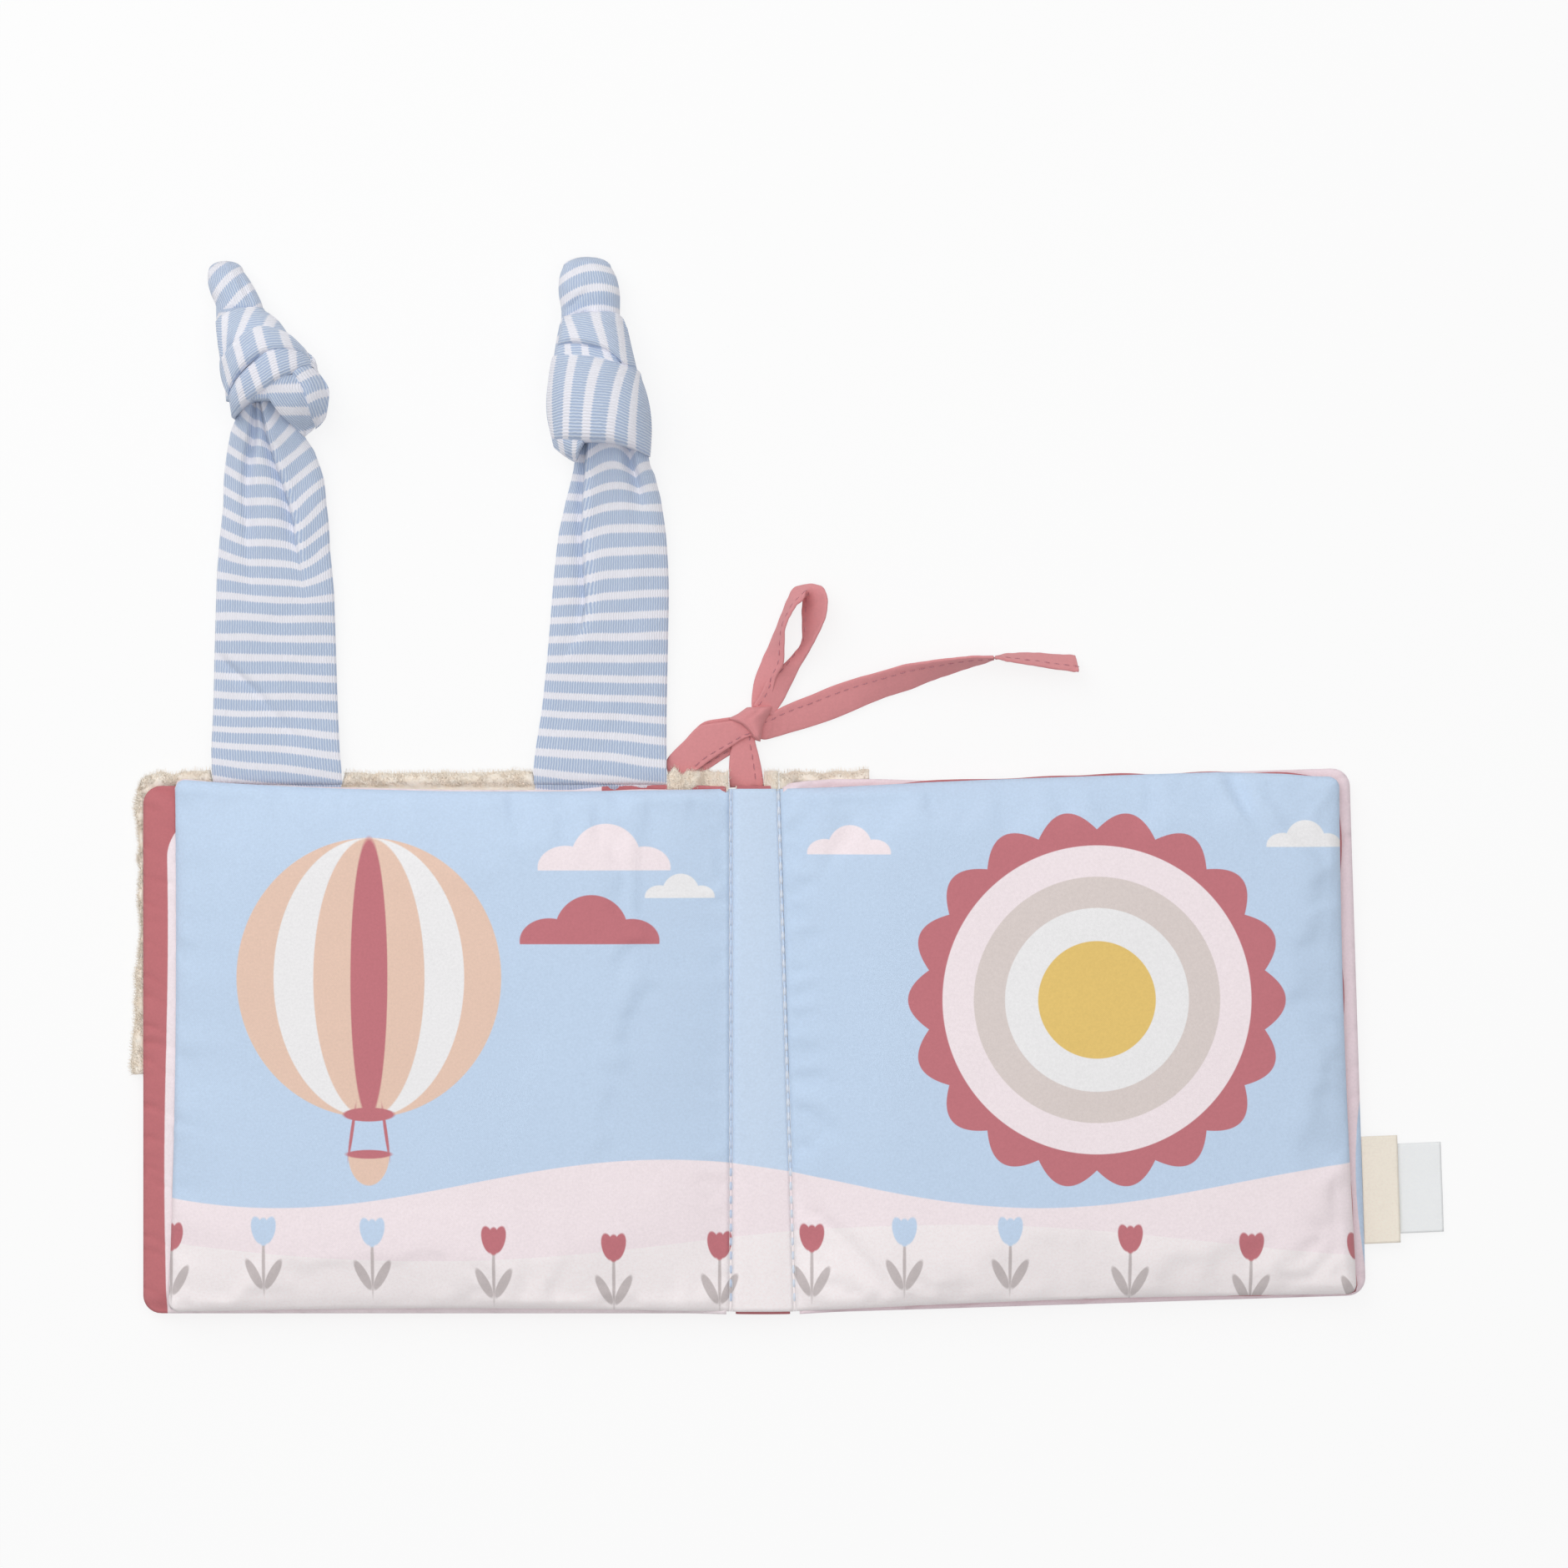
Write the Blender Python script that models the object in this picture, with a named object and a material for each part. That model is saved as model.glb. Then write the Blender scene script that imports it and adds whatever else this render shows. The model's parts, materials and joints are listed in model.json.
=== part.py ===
"""Soft cloth play book, lying open flat, with two knotted ears and a ribbon tie.

The book lies on its covers with the ears pointing along +Y. The origin is on the floor,
under the middle of the spine. Metres, +Z up.

Each half of the book is drawn in its own frame: u runs outwards from the page seam, v runs
along the seam and z is the height above the floor. The seams are also the hinge lines.
"""
import math

import bmesh
import bpy
from mathutils import Vector

MM = 0.001

# Clearances and cloth
GAP = 0.3 * MM                    # between two layers that touch on the real book
SKIN = 0.5 * MM                   # one layer of printed cotton
PILE = 2.2 * MM                   # plush with its pile
FILM = 0.2 * MM                   # crinkle film

# Spine
SPINE_WIDTH = 15.2 * MM           # between the two page seams, half way up
RIGHT_HALF_TURN = math.radians(1.81)   # the right half lies slightly turned
SPINE_FLAT_ANGLE = math.radians(48)    # undersides rise to the seams at this slope
SEAM_MARGIN = 1.3 * MM            # from a seam to the first cloth of the covers and the spine
LINING_MARGIN = 2.2 * MM          # from a seam to the lining of the spine
THREAD_RADIUS = 0.4 * MM
THREAD_END = 1.5 * MM             # the seams stop this far from the page's edge
BAND_SKIN = 0.4 * MM
BAND_EDGE_RISE = 0.05 * MM        # gutter band above the seam, beside it
BAND_RISE = 0.6 * MM              # and at its middle

# Leaves
LEAF_HEIGHT = 143.0 * MM
LEAF_WIDTH = 153.7 * MM
LEAF_START = 3.0 * MM             # from the seam to the first solid cloth of the leaf
LEAF_REVERSE_START = 10.5 * MM
LEAF_WADDING_START = 14.0 * MM
LEAF_WADDING_INSET = 5.0 * MM     # the sewn edge all round stays unfilled
LEAF_CROWN = 6.4 * MM             # above the seam
LEAF_CROWN_RUN = 45.0 * MM        # from the seam to full height
LEAF_RIM_TOP = 2.6 * MM           # top of the leaf's sewn edge above the seam
LEAF_RIM = 1.5 * MM
LEAF_RIM_RUN = 25.0 * MM
LEAF_UNDERSIDE_RUN = 8.0 * MM
LEAF_CORNER = 5.0 * MM
LEAF_PULL = 1.6 * MM              # how far the edges draw in between the corners
FILM_INSET = 12.0 * MM

# Covers
COVER_HEAD = 0.7 * MM             # the covers stand out past the leaves at head and foot
FRONT_COVER_MARGIN = 7.2 * MM     # and at the sides
BACK_COVER_MARGIN = 2.7 * MM
COVER_THICKNESS = 6.6 * MM
COVER_RIM = 1.5 * MM              # thickness where the cover's faces are sewn together
COVER_RIM_HEIGHT = 3.3 * MM       # height of that seam above the floor
COVER_RIM_RUN = 10.0 * MM         # the faces round down to the rim over this width
COVER_CORNER = 7.0 * MM
RIM_STEPS = 3                     # rows of faces in that width
COVER_WADDING_INSET = COVER_RIM_RUN / RIM_STEPS
COVER_WADDING_START = 7.0 * MM

# Plush upper panel
PLUSH_HEM = -6.8 * MM             # where the plush ends and the cotton begins, along v
PLUSH_OVERHANG = 3.6 * MM         # the pile stands out past the rim
PLUSH_CORNER = 9.0 * MM
PLUSH_STRIP_WIDTH = 25.0 * MM     # on the back cover
PLUSH_EDGE_LIFT = 0.5 * MM
HEM_STEP = 2.0 * MM               # the wadding steps down to the cotton over this width

# Ears
EAR_ROOT_RADIUS = 1.1 * MM
EAR_ROOT_HEIGHT = 4.0 * MM
EAR_ROOT_RUN = 6.0 * MM           # the strap leaves its root level, so that it can fold back
EAR_NOTCH_CLEARANCE = 0.5 * MM
EAR_THICKNESS = 22.0 * MM         # of the knot, its thickest part
LEFT_EAR_MARGIN = 36.8 * MM       # from the front cover's side to the ear's middle
LEFT_EAR_WIDTH = 35.4 * MM
LEFT_EAR_LENGTH = 142.2 * MM
RIGHT_EAR_CENTRE = 35.8 * MM      # from the page seam
RIGHT_EAR_WIDTH = 36.4 * MM
RIGHT_EAR_LENGTH = 143.2 * MM

# Tie
RIBBON_WIDTH = 9.0 * MM
RIBBON_THICKNESS = 1.1 * MM
TIE_ROOT_HEIGHT = 2.6 * MM
TIE_OFFSET = 3.8 * MM             # the ribbon is sewn in left of the spine's middle
TIE_NOTCH_CLEARANCE = 0.8 * MM
TIE_ANCHOR_LENGTH = 10.9 * MM
TIE_KNOT_LENGTH = 10.8 * MM
TIE_KNOT_WIDTH = 8.0 * MM
TIE_KNOT_THICKNESS = 6.5 * MM
UPPER_LOOP_LENGTH = 31.0 * MM
LEFT_LOOP_LENGTH = 17.0 * MM
LONG_TAIL_LENGTH = 84.0 * MM

# Tags
TAG_ROOT_GAP = 0.9 * MM
TAG_ROOT_HEIGHT = 3.6 * MM
TAG_SLOPE = math.tan(math.radians(7.5))
CREAM_TAG_THICKNESS = 0.5 * MM
CREAM_TAG_LENGTH = 9.2 * MM
CREAM_TAG_WIDTH = 29.4 * MM
WHITE_TAG_THICKNESS = 0.35 * MM
WHITE_TAG_LENGTH = 21.4 * MM
WHITE_TAG_WIDTH = 24.6 * MM
TAG_FOOT = 28.7 * MM              # from the foot of the back cover to the tags' middle

# Heights that follow from the sizes above
SEAM_HEIGHT = COVER_THICKNESS + GAP / 2
LEAF_UNDERSIDE = COVER_THICKNESS + GAP
LEAF_HALF = LEAF_HEIGHT / 2
COVER_HALF = LEAF_HALF + COVER_HEAD
FRONT_COVER_WIDTH = LEAF_WIDTH + FRONT_COVER_MARGIN
BACK_COVER_WIDTH = LEAF_WIDTH + BACK_COVER_MARGIN
LEFT_EAR_CENTRE = FRONT_COVER_WIDTH - LEFT_EAR_MARGIN   # from the page seam
SEAM_OFFSET = SPINE_WIDTH / 2
SPINE_FLAT = SEAM_HEIGHT / math.tan(SPINE_FLAT_ANGLE)   # from a seam to the flat underside
EAR_HINGE_V = COVER_HALF + GAP + EAR_ROOT_RADIUS
TIE_HINGE_V = COVER_HALF + GAP + RIBBON_THICKNESS / 2
TAG_CENTRE = TAG_FOOT - COVER_HALF

COLOURS = {
    "plush": ((0.80, 0.70, 0.57), 0.95),
    "rose": ((0.55, 0.15, 0.18), 0.85),
    "pale_pink": ((0.88, 0.76, 0.73), 0.85),
    "sky": ((0.50, 0.67, 0.88), 0.8),
    "wadding": ((0.9, 0.9, 0.88), 0.95),
    "film": ((0.85, 0.87, 0.9), 0.25),
    "jersey": ((0.42, 0.52, 0.68), 0.9),
    "ribbon": ((0.58, 0.17, 0.22), 0.8),
    "cream": ((0.9, 0.78, 0.65), 0.8),
    "white": ((0.84, 0.85, 0.87), 0.6),
    "thread": ((0.85, 0.6, 0.6), 0.7),
}


def clear_scene():
    for item in list(bpy.data.objects):
        bpy.data.objects.remove(item, do_unlink=True)


def cloth_material(name, key):
    colour, roughness = COLOURS[key]
    material = bpy.data.materials.new(name)
    material.use_nodes = True
    shader = material.node_tree.nodes["Principled BSDF"]
    shader.inputs["Base Color"].default_value = (*colour, 1)
    shader.inputs["Roughness"].default_value = roughness
    shader.inputs["Metallic"].default_value = 0
    material.diffuse_color = (*colour, 1)
    return material


def add_hinge(name, location, parent=None, turn=0):
    """An empty on a hinge line; the pieces that swing about it are its children."""
    hinge = bpy.data.objects.new(name, None)
    hinge.location = location
    hinge.rotation_euler = (0, 0, turn)
    hinge.parent = parent
    bpy.context.scene.collection.objects.link(hinge)
    return hinge


def add_piece(name, bm, key, hinge=None):
    """Close the mesh's normals outwards and hang the piece on its hinge."""
    bmesh.ops.recalc_face_normals(bm, faces=bm.faces)
    bmesh.ops.triangulate(bm, faces=bm.faces, quad_method="FIXED")
    mesh = bpy.data.meshes.new(name)
    bm.to_mesh(mesh)
    bm.free()
    mesh.shade_smooth()
    mesh.set_sharp_from_angle(angle=math.radians(40))
    mesh.materials.append(cloth_material(name, key))
    piece = bpy.data.objects.new(name, mesh)
    piece.parent = hinge
    bpy.context.scene.collection.objects.link(piece)
    return piece


def ease(distance, run):
    """A quarter sine: 0 at the edge, 1 from `run` inwards."""
    return math.sin(math.pi / 2 * min(1, max(0, distance / run)))


def spread(start, end, count):
    return [start + (end - start) * step / count for step in range(count + 1)]


def round_corner(u, v, width, half, radius):
    """Pull the square corner of the grid on to a quarter disc."""
    over_u = u - (width - radius)
    over_v = abs(v) - (half - radius)
    if over_u <= 0 or over_v <= 0:
        return u, v
    scale = max(over_u, over_v) / math.hypot(over_u, over_v)
    return width - radius + over_u * scale, math.copysign(half - radius + over_v * scale, v)


def rim_distance(u, v, width, half, radius):
    over_u = u - (width - radius)
    over_v = abs(v) - (half - radius)
    if over_u > 0 and over_v > 0:
        return radius - math.hypot(over_u, over_v)
    return min(width - u, half - abs(v))


def slab(across, along, underside, topside, plan, keep=None):
    """A layer between two height functions over a grid of cells.

    `plan` gives the place of a grid point and where its heights are read. Cells that `keep`
    refuses are left out. Every layer splits its cells along the same diagonal, so that
    layers which follow each other stay clear of each other.
    """
    bm = bmesh.new()
    low, high = {}, {}
    for i, u in enumerate(across):
        for j, v in enumerate(along):
            position, heights_at = plan(u, v)
            bottom, top = underside(*heights_at), topside(*heights_at)
            low[i, j] = bm.verts.new((*position, bottom))
            high[i, j] = bm.verts.new((*position, top))
    walls = {}
    for i in range(len(across) - 1):
        for j in range(len(along) - 1):
            middle = ((across[i] + across[i + 1]) / 2, (along[j] + along[j + 1]) / 2)
            if keep and not keep(*middle):
                continue
            loop = [(i, j), (i + 1, j), (i + 1, j + 1), (i, j + 1)]
            for three in ((0, 1, 2), (0, 2, 3)):
                bm.faces.new([high[loop[k]] for k in three])
                bm.faces.new([low[loop[k]] for k in reversed(three)])
            for start, end in zip(loop, loop[1:] + loop[:1]):
                if walls.pop((end, start), None) is None:
                    walls[start, end] = True
    for start, end in walls:
        bm.faces.new([low[start], low[end], high[end], high[start]])
    bmesh.ops.delete(bm, geom=[v for v in bm.verts if not v.link_faces], context="VERTS")
    return bm


def hang(bm, side, hinge_height=SEAM_HEIGHT):
    """Turn (u, v, z) into the frame of a hinge whose pieces lie towards `side`."""
    for vert in bm.verts:
        vert.co = (side * vert.co.x, vert.co.y, vert.co.z - hinge_height)
    return bm


def panel_plan(width, half, radius, pull=0):
    """Plan of a panel with two round outer corners, its edges drawn in by `pull`."""
    def plan(u, v):
        u, v = round_corner(u, v, width, half, radius)
        inward_v = pull * math.sin(math.pi * min(1, max(0, u / width))) * (v / half) ** 3
        inward_u = pull * math.cos(math.pi / 2 * v / half) * max(0, u / width) ** 6
        return (u - inward_u, v - inward_v), (u, v)
    return plan


def seam_slope(distance):
    """Height at which a cover or the spine starts, at this distance from a seam."""
    return max(0, SEAM_HEIGHT - distance * math.tan(SPINE_FLAT_ANGLE))


def plush_lift(u, v, width):
    """The pile's lower edge lifts a little where it stands out past the rim."""
    out = max(u - width, v - COVER_HALF, 0)
    return PLUSH_EDGE_LIFT * min(1, out / PLUSH_OVERHANG)


class Cover:
    """Heights of one cover's faces; its plush covers u < plush_width above the hem."""

    def __init__(self, width, plush_width):
        self.width = width
        self.plush_width = plush_width

    def rim(self, u, v):
        return 1 - ease(rim_distance(u, v, self.width, COVER_HALF, COVER_CORNER), COVER_RIM_RUN)

    def topside(self, u, v):
        """The lining's face: flat, rounding down to the rim, but not beside the spine."""
        drop = COVER_THICKNESS - COVER_RIM_HEIGHT - COVER_RIM / 2
        return COVER_THICKNESS - drop * self.rim(u, v) * min(1, (u - SEAM_MARGIN) / COVER_RIM_RUN)

    def cotton_underside(self, u, v):
        return max(seam_slope(u), (COVER_RIM_HEIGHT - COVER_RIM / 2) * self.rim(u, v))

    def plush_underside(self, u, v):
        return max(seam_slope(u), plush_lift(u, v, self.width))

    def ceiling(self, u, v):
        """Highest that the outer cloth may reach under the lining."""
        return self.topside(u, min(v, COVER_HALF)) - SKIN - GAP

    def cotton_topside(self, u, v):
        return min(self.cotton_underside(u, v) + SKIN, self.ceiling(u, v))

    def plush_topside(self, u, v):
        return min(self.plush_underside(u, v) + PILE, self.ceiling(min(u, self.width), v))

    def wadding_underside(self, u, v):
        past_hem = (v - PLUSH_HEM + GAP + HEM_STEP) / HEM_STEP
        past_strip = (self.plush_width + GAP + HEM_STEP - u) / HEM_STEP
        plush = min(1, max(0, past_hem)) * min(1, max(0, past_strip))
        return self.cotton_underside(u, v) + SKIN + plush * (PILE - SKIN) + GAP

    def wadding_topside(self, u, v):
        return self.topside(u, v) - SKIN - GAP


def lining_underside(cover):
    return lambda u, v: cover.topside(u, v) - SKIN


def rim_lines(start, end, run, coarse=4):
    """Lines across a panel, close together over the last `run`."""
    return spread(start, end - run, coarse)[:-1] + spread(end - run, end, RIM_STEPS)


def mirrored(lines):
    return [-line for line in reversed(lines)] + [line for line in lines if line > 0]


def make_cover(prefix, cover, hinge, side):
    """Lining and wadding, which both covers have."""
    near = [SEAM_MARGIN, LEAF_START, SPINE_FLAT]
    across = near + rim_lines(near[-1] + COVER_RIM_RUN, cover.width, COVER_RIM_RUN)
    along = mirrored(rim_lines(0, COVER_HALF, COVER_RIM_RUN, coarse=3))
    plan = panel_plan(cover.width, COVER_HALF, COVER_CORNER)
    bm = slab(across, along, lining_underside(cover), cover.topside, plan)
    add_piece(prefix + "_lining", hang(bm, side), "rose" if side < 0 else "pale_pink", hinge)

    width = cover.width - COVER_WADDING_INSET
    half = COVER_HALF - COVER_WADDING_INSET
    steps = [PLUSH_HEM - GAP - HEM_STEP, PLUSH_HEM - GAP]
    inner = [line for line in along
             if abs(line) < half - GAP and abs(line - PLUSH_HEM) > HEM_STEP]
    along = sorted([-half, half] + inner + steps)
    across = [COVER_WADDING_START] + [line for line in across
                                      if COVER_WADDING_START < line < width - GAP] + [width]
    if cover.plush_width < width:
        across = sorted(across + [cover.plush_width + GAP, cover.plush_width + GAP + HEM_STEP])
    plan = panel_plan(width, half, COVER_CORNER)
    bm = slab(across, along, cover.wadding_underside, cover.wadding_topside, plan)
    add_piece(prefix + "_wadding", hang(bm, side), "wadding", hinge)


def make_front_cover(hinge):
    cover = Cover(FRONT_COVER_WIDTH, FRONT_COVER_WIDTH)
    make_cover("front_cover", cover, hinge, -1)
    near = [SEAM_MARGIN, LEAF_START, SPINE_FLAT]
    notches = []
    for centre, width in ((LEFT_EAR_CENTRE, LEFT_EAR_WIDTH), (RIGHT_EAR_CENTRE, RIGHT_EAR_WIDTH)):
        reach = width / 2 + EAR_NOTCH_CLEARANCE
        notches.append((centre - reach, centre + reach))
    outer = cover.width + PLUSH_OVERHANG
    across = sorted(near + [edge for notch in notches for edge in notch]
                    + [sum(notch) / 2 for notch in notches]
                    + [(notches[0][0] + notches[1][1]) / 2, outer - PLUSH_CORNER,
                       outer - PLUSH_CORNER / 2, cover.width, outer])
    top = COVER_HALF + PLUSH_OVERHANG
    along = spread(PLUSH_HEM, top - PLUSH_CORNER, 3) + [top - PLUSH_CORNER / 2, COVER_HALF, top]

    def keep(u, v):
        """No pile stands out under the ears, or between them and the tie, which swing there."""
        if v < COVER_HALF:
            return True
        return u > notches[1][0] and not any(low < u < high for low, high in notches)

    plan = panel_plan(outer, top, PLUSH_CORNER)
    bm = slab(across, along, cover.plush_underside, cover.plush_topside, plan, keep)
    add_piece("front_cover_plush", hang(bm, -1), "plush", hinge)

    across = near + rim_lines(near[-1] + COVER_RIM_RUN, cover.width, COVER_RIM_RUN)
    along = [-line for line in reversed(rim_lines(0, COVER_HALF, COVER_RIM_RUN, coarse=3))]
    along = [line for line in along if line < PLUSH_HEM - GAP] + [PLUSH_HEM - GAP]
    plan = panel_plan(cover.width, COVER_HALF, COVER_CORNER)
    bm = slab(across, along, cover.cotton_underside, cover.cotton_topside, plan)
    add_piece("front_cover_lower_panel", hang(bm, -1), "rose", hinge)


def make_back_cover(hinge):
    cover = Cover(BACK_COVER_WIDTH, PLUSH_STRIP_WIDTH)
    make_cover("back_cover", cover, hinge, 1)
    near = [SEAM_MARGIN, LEAF_START, SPINE_FLAT]
    top = COVER_HALF + PLUSH_OVERHANG
    across = near + [(near[-1] + PLUSH_STRIP_WIDTH) / 2, PLUSH_STRIP_WIDTH]
    along = spread(PLUSH_HEM, COVER_HALF, 4) + [top]
    plan = panel_plan(BACK_COVER_WIDTH, top, 0)
    bm = slab(across, along, cover.plush_underside, cover.plush_topside, plan)
    add_piece("back_cover_plush_strip", hang(bm, 1), "plush", hinge)

    strip = PLUSH_STRIP_WIDTH + GAP
    across = near + [strip] + rim_lines(strip + COVER_RIM_RUN, cover.width, COVER_RIM_RUN)
    along = mirrored(rim_lines(0, COVER_HALF, COVER_RIM_RUN, coarse=3))
    along = sorted([line for line in along if line] + [PLUSH_HEM - GAP])

    def keep(u, v):
        return u > strip or v < PLUSH_HEM - GAP

    plan = panel_plan(cover.width, COVER_HALF, COVER_CORNER)
    bm = slab(across, along, cover.cotton_underside, cover.cotton_topside, plan, keep)
    add_piece("back_cover_outer_panel", hang(bm, 1), "pale_pink", hinge)


def right_seam(v):
    """Where the right seam lies at this place along the spine."""
    return SEAM_OFFSET - v * math.tan(RIGHT_HALF_TURN)


def spine_plan(u, v):
    """u is the place across the spine half way up; the right side leans with the right seam.
    The heights are read at the distance from the nearer seam."""
    shift = right_seam(v) - SEAM_OFFSET
    if u < 0:
        x = u
    elif u > 0:
        x = u + shift
    else:
        x = shift / 2
    return (x, v), (min(x + SEAM_OFFSET, right_seam(v) - x), v)


def spine_columns(start):
    """Columns across the spine, from `start` inside each seam, with its slope and its flat."""
    first = (SEAM_MARGIN + SPINE_FLAT) / 2
    steps = [step for step in (start, first, SPINE_FLAT) if step >= start]
    left = [step - SEAM_OFFSET for step in steps]
    return left + [0] + [-column for column in reversed(left)]


def band_topside(w, v):
    half = SPINE_WIDTH / 2 - SEAM_MARGIN
    return SEAM_HEIGHT + BAND_EDGE_RISE + BAND_RISE * ease(w - SEAM_MARGIN, half)


def spine_lining_topside(w, v):
    return band_topside(w, v) - BAND_SKIN - GAP


def spine_ceiling(w, v):
    """Highest that the outer cloth may reach; beside a seam it has no lining above it."""
    if w < LINING_MARGIN:
        return seam_slope(w) + SKIN
    return spine_lining_topside(w, v) - SKIN - GAP


def spine_underside(w, v):
    rim = 1 - ease(COVER_HALF - abs(v), COVER_RIM_RUN)
    return max(seam_slope(w), (COVER_RIM_HEIGHT - COVER_RIM / 2) * rim)


def spine_plush_underside(w, v):
    return max(seam_slope(w), plush_lift(0, v, SPINE_WIDTH))


def spine_wadding_underside(w, v):
    past_hem = min(1, max(0, (v - PLUSH_HEM + GAP + HEM_STEP) / HEM_STEP))
    return spine_underside(w, v) + SKIN + past_hem * (PILE - SKIN) + GAP


def make_spine():
    rows = mirrored(rim_lines(0, COVER_HALF, COVER_RIM_RUN, coarse=2))
    lower = [row for row in rows if row < PLUSH_HEM - GAP] + [PLUSH_HEM - GAP]

    def outer_topside(underside, thickness):
        return lambda w, v: min(underside(w, v) + thickness, spine_ceiling(w, v))

    bm = slab(spine_columns(SEAM_MARGIN), lower, spine_underside,
              outer_topside(spine_underside, SKIN), spine_plan)
    add_piece("spine_lower_panel", bm, "rose")

    bm = spine_plush()
    add_piece("spine_plush", bm, "plush")

    bm = slab(spine_columns(LINING_MARGIN), rows,
              lambda w, v: spine_lining_topside(w, v) - SKIN, spine_lining_topside, spine_plan)
    add_piece("spine_lining", bm, "rose")

    half = COVER_HALF - COVER_WADDING_INSET
    steps = [PLUSH_HEM - GAP - HEM_STEP, PLUSH_HEM - GAP]
    inner = [row for row in rows if abs(row) < half - GAP and row]
    columns = spine_columns(SEAM_MARGIN)[1:-1]
    bm = slab(columns, sorted([-half, half] + inner + steps),
              spine_wadding_underside, spine_ceiling, spine_plan)
    add_piece("spine_wadding", bm, "wadding")

    page = mirrored(rim_lines(0, LEAF_HALF, COVER_RIM_RUN, coarse=2))
    bm = slab(spine_columns(SEAM_MARGIN), page,
              lambda w, v: band_topside(w, v) - BAND_SKIN, band_topside, spine_plan)
    add_piece("gutter_band", bm, "sky")


def spine_plush():
    """The plush on the spine, notched where the tie is sewn in."""
    reach = RIBBON_WIDTH / 2 + TIE_NOTCH_CLEARANCE
    top = COVER_HALF + PLUSH_OVERHANG
    rows = spread(PLUSH_HEM, COVER_HALF, 4) + [top]
    columns = spine_columns(SEAM_MARGIN)
    low, high = -TIE_OFFSET - reach, -TIE_OFFSET + reach

    def keep(u, v):
        if v < COVER_HALF:
            return True
        x = spine_plan(u, v)[0][0]
        return x < low or x > high

    def topside(w, v):
        return min(spine_plush_underside(w, v) + PILE, spine_ceiling(w, min(v, COVER_HALF)))

    return slab(columns, rows, spine_plush_underside, topside, spine_plan, keep)


def seam_thread(name, hinge):
    """The row of stitches along a seam, as one round thread."""
    bm = bmesh.new()
    length = LEAF_HEIGHT - 2 * THREAD_END
    bmesh.ops.create_cone(bm, cap_ends=True, segments=8, radius1=THREAD_RADIUS,
                          radius2=THREAD_RADIUS, depth=length)
    piece = add_piece(name, bm, "thread", hinge)
    piece.rotation_euler = (math.pi / 2, 0, 0)


def leaf_crown_line(u):
    return SEAM_HEIGHT + LEAF_CROWN * ease(u, LEAF_CROWN_RUN)


def leaf_topside(u, v):
    """A cushion: low at the seam, crowned, and falling to its sewn edge on the other sides."""
    crown = leaf_crown_line(u)
    edge = min(crown, SEAM_HEIGHT + LEAF_RIM_TOP)
    swell = ease(LEAF_HALF - abs(v), LEAF_RIM_RUN) * ease(LEAF_WIDTH - u, LEAF_RIM_RUN)
    return edge + (crown - edge) * swell


def leaf_underside(u, v):
    lift = max(0, min(leaf_crown_line(u), SEAM_HEIGHT + LEAF_RIM_TOP) - LEAF_RIM - LEAF_UNDERSIDE)
    distance = rim_distance(u, v, LEAF_WIDTH, LEAF_HALF, LEAF_CORNER)
    return LEAF_UNDERSIDE + lift * (1 - ease(distance, LEAF_UNDERSIDE_RUN))


def wadding_floor(u, v):
    return leaf_underside(u, v) + SKIN + FILM + 2 * GAP


def make_leaf(prefix, hinge, side):
    """A printed picture face and a reverse face, with wadding and a crinkle film between."""
    crown = LEAF_WIDTH - LEAF_RIM_RUN
    across = ([LEAF_START, LEAF_REVERSE_START / 2 + LEAF_START / 2, LEAF_REVERSE_START,
               LEAF_WADDING_START] + spread(LEAF_CROWN_RUN / 2, LEAF_CROWN_RUN, 2)
              + spread(LEAF_CROWN_RUN, crown, 4)[1:] + spread(crown, LEAF_WIDTH - LEAF_CORNER, 3)[1:]
              + spread(LEAF_WIDTH - LEAF_CORNER, LEAF_WIDTH, 2)[1:])
    flat = LEAF_HALF - LEAF_RIM_RUN
    along = mirrored([0] + spread(0, flat, 3)[1:] + spread(flat, LEAF_HALF - LEAF_CORNER, 3)[1:]
                     + spread(LEAF_HALF - LEAF_CORNER, LEAF_HALF, 2)[1:])
    plan = panel_plan(LEAF_WIDTH, LEAF_HALF, LEAF_CORNER, LEAF_PULL)
    bm = slab(across, along, lambda u, v: leaf_topside(u, v) - SKIN, leaf_topside, plan)
    add_piece(prefix + "_picture", hang(bm, side), "sky", hinge)

    width = LEAF_WIDTH - LEAF_WADDING_INSET
    half = LEAF_HALF - LEAF_WADDING_INSET
    inner_across = [line for line in across if LEAF_WADDING_START <= line < width - GAP] + [width]
    inner_along = [-half] + [line for line in along if abs(line) < half - GAP] + [half]
    bm = slab(inner_across, inner_along, wadding_floor,
              lambda u, v: leaf_topside(u, v) - SKIN - GAP,
              wadding_plan(width, half))
    add_piece(prefix + "_wadding", hang(bm, side), "wadding", hinge)

    reverse_across = [LEAF_REVERSE_START] + rim_lines(LEAF_CROWN_RUN, LEAF_WIDTH,
                                                      LEAF_UNDERSIDE_RUN, coarse=3)
    reverse_along = mirrored(rim_lines(0, LEAF_HALF, LEAF_UNDERSIDE_RUN, coarse=2))
    bm = slab(reverse_across, reverse_along, leaf_underside,
              lambda u, v: leaf_underside(u, v) + SKIN, plan)
    add_piece(prefix + "_reverse", hang(bm, side), "rose", hinge)

    film_across = [LEAF_WADDING_START, LEAF_WIDTH - FILM_INSET]
    film_along = [-LEAF_HALF + FILM_INSET, LEAF_HALF - FILM_INSET]
    level = LEAF_UNDERSIDE + SKIN + GAP
    bm = slab(film_across, film_along, lambda u, v: level, lambda u, v: level + FILM, plan)
    add_piece(prefix + "_crinkle_film", hang(bm, side), "film", hinge)


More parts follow.
